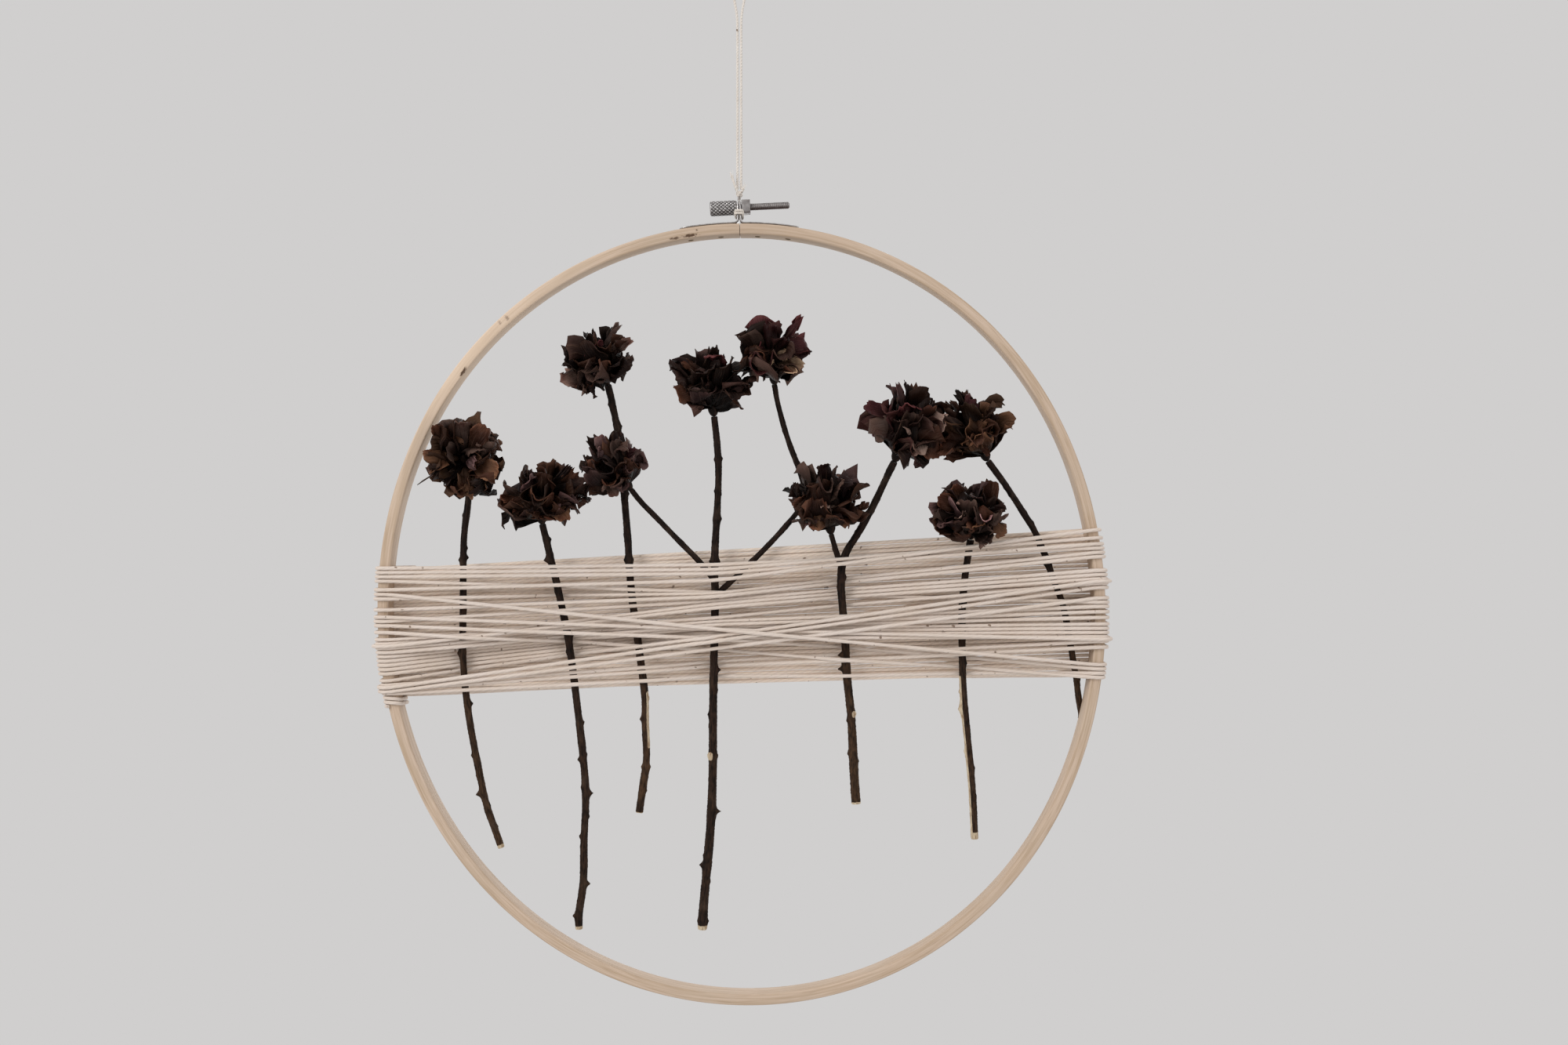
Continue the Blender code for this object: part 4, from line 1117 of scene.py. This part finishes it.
# Creases over each petal: how deep, how many, and how far they may slant.
CREASES = ((0.9, 4.0, 1.6), (0.65, 8.5, 3.6), (0.34, 15.0, 7.0))
DARK = (0.016, 0.007, 0.006)
BROWN = (0.060, 0.023, 0.013)
TAUPE = (0.100, 0.060, 0.048)
MAUVE = (0.088, 0.049, 0.048)
MAROON = (0.060, 0.016, 0.018)
TAN = (0.270, 0.180, 0.115)
WARM = (0.135, 0.064, 0.034)
PALE = (0.270, 0.185, 0.150)
# Each head: the twig and which of its tips it sits on, the way it faces and how far it leans in x and z,
# its height along that way, the reach of its outer petals round it from the right by way of the back,
# how many petals it has, how broad they are, and the colours they come in.
ROSES = {
    "flower_1": (
        ("stem_1", 0), (0.02, -1.0, 0.08), (1.0, -1.0), 15.0, (14, 14, 16, 16, 15, 14, 15, 16),
        46, 0.40, (WARM, BROWN, WARM, TAUPE, BROWN, DARK),
    ),
    "flower_2": (
        ("stem_2", 0), (0.06, -0.5, 0.85), (1.0, 3.6), 22.0, (18, 15, 13, 14, 19, 16, 13, 14),
        46, 0.38, (BROWN, TAUPE, DARK, BROWN, MAUVE),
    ),
    "flower_3": (
        ("stem_4", 1), (-0.55, -0.4, 0.72), (-2.4, 2.6), 21.0, (11, 13, 13, 12, 13, 14, 12, 13),
        48, 0.34, (MAUVE, TAUPE, MAUVE, BROWN, DARK),
    ),
    "flower_4": (
        ("stem_3", 0), (-0.34, -0.38, 0.86), (0.0, -0.2), 23.0, (14, 13, 13, 13, 15, 14, 13, 14),
        38, 0.42, (DARK, BROWN, TAUPE, DARK),
    ),
    "flower_5": (
        ("stem_4", 0), (-0.1, -0.38, 0.9), (0.3, 4.0), 25.0, (14, 14, 13, 13, 14, 14, 13, 13),
        36, 0.48, (DARK, DARK, BROWN, MAUVE, DARK),
    ),
    "flower_6": (
        ("stem_4", 2), (0.03, -0.38, 0.9), (-1.8, 0.3), 26.0, (14, 13, 13, 13, 14, 14, 13, 13),
        38, 0.42, (MAROON, DARK, BROWN, TAUPE),
    ),
    "flower_7": (
        ("stem_5", 1), (-0.08, -0.38, 0.9), (-0.3, 2.6), 27.0, (14, 14, 13, 14, 15, 14, 13, 14),
        50, 0.34, (BROWN, TAUPE, DARK, MAUVE, BROWN),
    ),
    "flower_8": (
        ("stem_5", 0), (0.25, -0.42, 0.84), (2.8, 3.8), 28.0, (14, 14, 13, 13, 14, 14, 13, 14),
        38, 0.46, (DARK, BROWN, TAUPE, MAROON),
    ),
    "flower_9": (
        ("stem_7", 0), (-0.33, -0.4, 0.84), (-4.6, 4.8), 24.0, (10, 12, 14, 13, 13, 13, 12, 11),
        48, 0.35, (WARM, BROWN, DARK, WARM, BROWN),
    ),
    "flower_10": (
        ("stem_6", 0), (0.02, -0.45, 0.87), (-2.0, 1.2), 24.0, (14, 14, 13, 14, 14, 13, 13, 14),
        48, 0.35, (TAUPE, DARK, BROWN, TAUPE, MAUVE),
    ),
}
# Loose petals: where each one's tip is from the middle of its head, its half width and colour.
LOOSE = {
    "flower_1": (
        ((-13.5, -6, 14.5), 2.6, BROWN), ((-1.5, -6, 15.5), 3.4, TAUPE), ((0.5, -5, -17.0), 3.2, WARM),
        ((-16.0, -6, 2.0), 3.2, WARM), ((14.0, -7, -6.0), 4.2, WARM), ((9.0, -7, 13.0), 3.6, BROWN),
        ((5.0, -11, -1.0), 2.6, MAUVE),
    ),
    "flower_2": (
        ((17.5, -4, 4.5), 2.6, DARK), ((-18.0, -5, -4.0), 2.8, BROWN), ((-12.0, -6, -9.5), 4.8, BROWN),
        ((10.0, -7, -9.5), 4.6, WARM), ((-6.0, -9, 4.0), 4.2, MAUVE), ((11.0, -4, 10.5), 1.4, DARK),
        ((-2.0, -8, -10.0), 4.4, BROWN),
    ),
    "flower_3": (
        ((11.0, -4, 6.5), 2.4, MAROON), ((2.0, -5, -13.0), 3.0, TAUPE), ((-3.0, -9, 6.0), 3.0, MAUVE),
        ((-4.0, -7, 11.5), 2.4, MAUVE),
    ),
    "flower_4": (
        ((9.5, -4, 17.5), 1.3, TAUPE), ((14.5, -5, 9.0), 2.2, TAUPE), ((-14.0, -7, -11.0), 4.8, TAUPE),
        ((-14.0, -4, -1.0), 1.3, DARK), ((-1.0, -9, 8.0), 4.0, MAROON), ((1.5, -9, -6.0), 2.6, MAUVE),
    ),
    "flower_5": (
        ((-14.0, -6, -8.0), 4.5, BROWN), ((12.5, -6, -2.0), 5.0, DARK), ((3.0, -6, 10.0), 4.5, MAROON),
        ((-11.0, -5, 7.0), 2.0, BROWN), ((-3.0, -9, 0.0), 4.5, DARK),
    ),
    "flower_6": (
        ((-3.0, -5, 15.0), 6.4, MAROON), ((13.0, -3, 14.5), 1.6, MAROON), ((16.0, -4, 5.0), 3.6, MAROON),
        ((-10.5, -4, 9.0), 4.4, MAROON), ((-5.0, -9, 3.0), 5.4, MAROON), ((13.5, -6, -5.5), 3.0, TAN),
        ((-8.5, -6, -13.0), 1.4, DARK), ((6.0, -9, 1.0), 3.2, TAN), ((-1.0, -9, -7.5), 2.0, TAN),
        ((10.0, -8, -9.0), 2.2, TAN),
    ),
    "flower_7": (
        ((-13.5, -5, -2.0), 3.0, BROWN), ((-2.0, -5, 15.5), 3.2, DARK), ((-6.0, -8, -12.0), 4.2, WARM),
        ((-2.0, -10, -3.0), 2.0, PALE), ((3.0, -10, -5.0), 1.8, PALE), ((8.0, -7, -11.0), 3.6, WARM),
    ),
    "flower_8": (
        ((-19.0, -4, 7.5), 2.6, MAROON), ((-7.0, -3, 16.5), 1.4, MAUVE), ((-9.0, -8, -7.0), 4.4, DARK),
        ((2.0, -9, -13.5), 4.6, PALE), ((10.0, -8, -12.5), 4.2, BROWN), ((14.0, -7, 0.0), 4.4, PALE),
        ((-4.0, -10, -3.0), 3.6, PALE), ((-3.0, -9, 7.0), 4.6, MAROON),
    ),
    "flower_9": (
        ((-12.0, -6, -12.5), 3.4, BROWN), ((11.5, -4, -2.0), 3.2, WARM), ((2.0, -4, 12.5), 3.0, MAROON),
        ((9.0, -7, -8.0), 3.4, WARM), ((6.0, -9, 1.0), 3.6, WARM), ((8.0, -6, -13.0), 1.6, BROWN),
    ),
    "flower_10": (
        ((15.0, -5, -8.5), 2.8, WARM), ((-13.0, -5, 5.0), 3.2, BROWN), ((-7.0, -4, 11.5), 2.6, BROWN),
        ((-4.0, -9, 1.0), 3.4, PALE), ((3.0, -9, -9.0), 3.6, WARM), ((15.0, -4, 1.0), 1.6, DARK),
    ),
}

petal, w, sockets = start("dried_petal", Roughness=0.45, Specular_IOR_Level=0.08)
grain = w.read("grain", "Vector")
PATCH_TINT = (0.45, 0.33, 0.32, 1)
VEIN = (0.14, 0.080, 0.055, 1)
HEART_SHADE = (0.006, 0.0035, 0.003, 1)
vein = w.noise(grain.stretch((0.14, 1.5, 1.0)), 1.0, 3.0)
patch = w.noise(grain, 0.22, 3.0)
own = w.read("petal_colour", "Color")
colour = patch.clip(0.40, 0.70).mix(own, own.tint(PATCH_TINT))
colour = (vein.clip(0.57, 0.74) * 0.3).mix(colour, VEIN)
# Painted shade towards the middle of each head.
colour = (w.read("deep") * 0.9).mix(colour, HEART_SHADE)
w.feed(sockets["Base Color"], colour)
w.feed(sockets["Normal"], w.bump(vein + patch * 0.6, 0.0009, 1.0))


def sheets(rng, base, bend, tip, out, half_width, curl, scoop, twist):
    """Points of crumpled petals, each from its base over a bend to its tip, out being their outer side.

    curl rolls the tip outwards and scoop rolls the two sides inwards, both in radians. Everything is
    one row for each petal. The result has a row and a column of points in each petal.
    """
    count = len(base)
    v = np.linspace(-1, 1, COLUMNS)[None, None, :]
    level = np.linspace(0, 1, ROWS)
    t = level[None, :, None]
    curve = (1 - t) ** 2 * base[:, None] + 2 * t * (1 - t) * bend[:, None] + t**2 * tip[:, None]
    way = unit(np.gradient(curve, axis=1))
    across = unit(np.cross(way, out[:, None]))
    normal = np.cross(across, way)
    bent = curl[:, None] * ((level - 0.45).clip(0) / 0.55) ** 1.6
    bent = bent + rng.normal(0, 0.16, (count, ROWS)).cumsum(axis=1) * level
    rolled = way * np.cos(bent)[..., None] + normal * np.sin(bent)[..., None]
    normal = normal * np.cos(bent)[..., None] - way * np.sin(bent)[..., None]
    steps = np.linalg.norm(np.diff(curve, axis=1), axis=2)[..., None] * (rolled[:, 1:] + rolled[:, :-1]) / 2
    curve = base[:, None] + np.concatenate((np.zeros((count, 1, 3)), np.cumsum(steps, axis=1)), axis=1)
    turn = (twist[:, None] * (level - 0.3))[..., None]
    cos, sin = np.cos(turn), np.sin(turn)
    across, normal = across * cos + normal * sin, normal * cos - across * sin
    width = half_width[:, None] * (0.24 + 0.82 * np.sin(np.minimum(level / 0.62, 1.25) * math.pi / 2) ** 1.1)
    width = (width * (1 + rng.normal(0, 0.06, (count, ROWS))))[..., None]
    angle = scoop[:, None, None] * (0.5 + 0.5 * t) + 1e-3
    sideways = width * np.sin(angle * v) / angle
    lift = -width * (1 - np.cos(angle * v)) / angle
    sides = (COLUMNS // 2 + 1, COLUMNS // 2)
    ruffle = rng.uniform(0, math.tau, (count, 1, 2)).repeat(sides, axis=2)
    ruffle = np.sin(ruffle + t * rng.uniform(5, 11, (count, 1, 1)))
    ruffle = rng.normal(0.1, 0.4, (count, 1, 2)).repeat(sides, axis=2) + 0.3 * ruffle
    lift = lift + width * t * np.abs(v) ** 2 * ruffle
    for size, waves, spread in CREASES:
        phase = rng.uniform(0, math.tau, (count, 1, 1))
        slant = rng.normal(0, spread, (count, 1, 1))
        crease = np.abs(np.sin((waves * t + slant * v + phase) / 2)) * 2 - 1.2
        lift = lift + size * crease * (0.2 + t) * rng.uniform(0.4, 1.3, (count, 1, 1))
    blunt = rng.uniform(2.4, 5.5, (count, 1, 1))
    short = rng.uniform(0.12, 0.34, (count, 1, 1)) * np.abs(v) ** blunt
    short = short + rng.normal(0.02, 0.028, (count, 1, COLUMNS))
    back = -short * t**3 * np.linalg.norm(tip - base, axis=1)[:, None, None]
    points = curve[:, :, None] + across[:, :, None] * sideways[..., None]
    points = points + normal[:, :, None] * lift[..., None] + rolled[:, :, None] * back[..., None]
    along = t * 14 + 40 * np.arange(count)[:, None, None]
    grain = np.stack(np.broadcast_arrays(along, v * width, lift * 0.2), axis=-1)
    edge = np.maximum(t * np.abs(v) ** 4, t**7 * np.ones((count, 1, COLUMNS)))
    return points, grain, edge


for number, (name, shape) in enumerate(ROSES.items()):
    (twig_name, tip_index), facing, lean, tall, reaches, count, breadth, colours = shape
    rng = np.random.default_rng(70 + number)
    route = SIDE_SHOOTS[twig_name][tip_index - 1] if tip_index else TWIGS[twig_name]
    axis = Vector(facing).normalized()
    way = (Vector(route[-1]) - Vector(route[-2])).normalized()
    foot = Vector(route[-1]) + way * (CLEAR + TWIG_RADII[twig_name][1] * math.sin(way.angle(axis)))
    across = Vector((0, 0, 1)).cross(axis).normalized()
    up = axis.cross(across)
    axis, across, up, foot = np.array(axis), np.array(across), np.array(up), np.array(foot)
    lean = np.array((lean[0], 0, lean[1]))
    middle_height = HEAD_MIDDLE * tall

    k = np.arange(count)
    polar = np.arccos(np.linspace(math.cos(INMOST_LEAN), math.cos(OUTMOST_LEAN), count))
    polar = (polar + rng.normal(0, 0.16, count)).clip(0.03, 2.3)
    turn = k * GOLDEN_ANGLE + rng.normal(0, 0.3, count)
    ends = np.append(reaches, reaches[0])
    reach = np.interp(turn % math.tau, np.linspace(0, math.tau, len(ends)), ends)
    reach = reach * rng.uniform(0.84, 1.03, count)
    outward = np.cos(turn)[:, None] * across + np.sin(turn)[:, None] * up
    spread = (0.12 + 0.88 * np.sin(polar)) * reach
    top = np.where(polar < math.pi / 2, tall - middle_height, middle_height * 0.92)
    tip = foot + axis * (middle_height + top * np.cos(polar))[:, None] + outward * spread[:, None]
    base = foot + axis * (0.10 * tall + 0.10 * tall * (1 - k / count))[:, None] + outward * 0.8
    belly = np.clip(0.30 + 0.62 * np.sin(np.minimum(polar, 1.6)), 0, 0.95) * reach
    bend = foot + axis * (tall * (0.50 - 0.30 * k / count))[:, None] + outward * belly[:, None]
    tip = tip + lean + rng.normal(0, 1.0, (count, 3))
    bend = bend + 0.6 * lean + rng.normal(0, 0.9, (count, 3))
    half_width = breadth * reach * (0.60 + 0.45 * np.sin(polar)) * rng.uniform(0.6, 1.3, count)
    curl = rng.normal(0.7, 0.9, count)
    scoop = rng.normal(1.0, 0.75, count)
    twist = rng.normal(0, 0.7, count)
    out = unit(outward - axis * 0.15 + rng.normal(0, 0.22, (count, 3)))
    points, grain, edge = sheets(rng, base, bend, tip, out, half_width, curl, scoop, twist)
    centre = foot + axis * middle_height + lean
    # Painted shade: the nearer a point is to the head's middle, the darker it is painted.
    depth = 1 - (np.linalg.norm(points - centre, axis=-1) / (0.52 * tall)).clip(0, 1) ** 2
    picked = rng.integers(0, len(colours), count)
    own = np.array(colours)[picked] * np.exp(rng.normal(-0.6, 0.45, (count, 1)))
    # Painted shade: the inner petals are painted darker than the outer ones.
    own = own * (0.6 + 0.6 * k / count)[:, None]

    few = len(LOOSE[name])
    loose_tips, widths, loose_colours = zip(*LOOSE[name])
    loose_tips = centre + np.array(loose_tips, float)
    ways = unit(loose_tips - centre)
    starts = centre + ways * 3.0
    lengths = np.linalg.norm(loose_tips - centre, axis=1)[:, None]
    bends = centre + ways * lengths * 0.6 + np.array((0, -2.2, 0))
    fronts = np.tile((0.0, -1.0, 0.25), (few, 1))
    more = sheets(
        rng, starts, bends, loose_tips, fronts, np.array(widths),
        rng.normal(0, 0.5, few), rng.normal(0.7, 0.5, few), rng.normal(0, 0.5, few),
    )
    points = np.concatenate((points, more[0]))
    grain = np.concatenate((grain, more[1] + (900, 0, 0)))
    edge = np.concatenate((edge, more[2]))
    depth = np.concatenate((depth, np.zeros(more[2].shape)))
    own = np.concatenate((own, np.array(loose_colours)))

    total = len(points)
    index = np.arange(total * ROWS * COLUMNS).reshape(total, ROWS, COLUMNS)
    quads = np.stack((index[:, :-1, :-1], index[:, :-1, 1:], index[:, 1:, 1:], index[:, 1:, :-1]), -1)
    shade = 0.15 + 0.95 * np.linspace(0, 1, ROWS)[None, :, None, None] ** 1.5
    # Petal rims are paler: partly their dry edges, partly painted highlight.
    dry_rim_and_highlight = (edge * rng.uniform(0.1, 1.0, (total, 1, 1)))[..., None]
    own_row = np.ones((total, ROWS, COLUMNS, 4))
    own_row[..., :3] = own[:, None, None] * shade * (1 + 1.4 * dry_rim_and_highlight) + dry_rim_and_highlight * (0.030, 0.017, 0.011)
    values = {"grain": grain, "petal_colour": own_row, "deep": depth}
    rose = smooth_piece(name + "_petals", points.reshape(-1, 3), quads.reshape(-1, 4).tolist(), petal, values)
    thickness = rose.modifiers.new("petal_thickness", "SOLIDIFY")
    thickness.thickness = PETAL_THICK * MM
    thickness.offset = 0
    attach(rose, "hanging")
    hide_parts(name)

    # The hip under the petals.
    line = np.array([foot - axis * 0.25 + axis * step for step in HIP_STEPS])
    hip_rings = rings(line, np.array(HIP_RADII)[:, None], HIP_SIDES)
    around = np.linspace(0, math.tau, HIP_SIDES)
    rows = np.broadcast_arrays(np.arange(len(line))[:, None] * 1.2, np.cos(around), np.sin(around))
    values = {"grain": np.stack(rows, -1).reshape(-1, 3)}
    for key in ("bare", "worn"):
        values[key] = np.zeros(len(line) * HIP_SIDES)
    hip = skin(name + "_hip", [hip_rings], bark, "hanging", values)
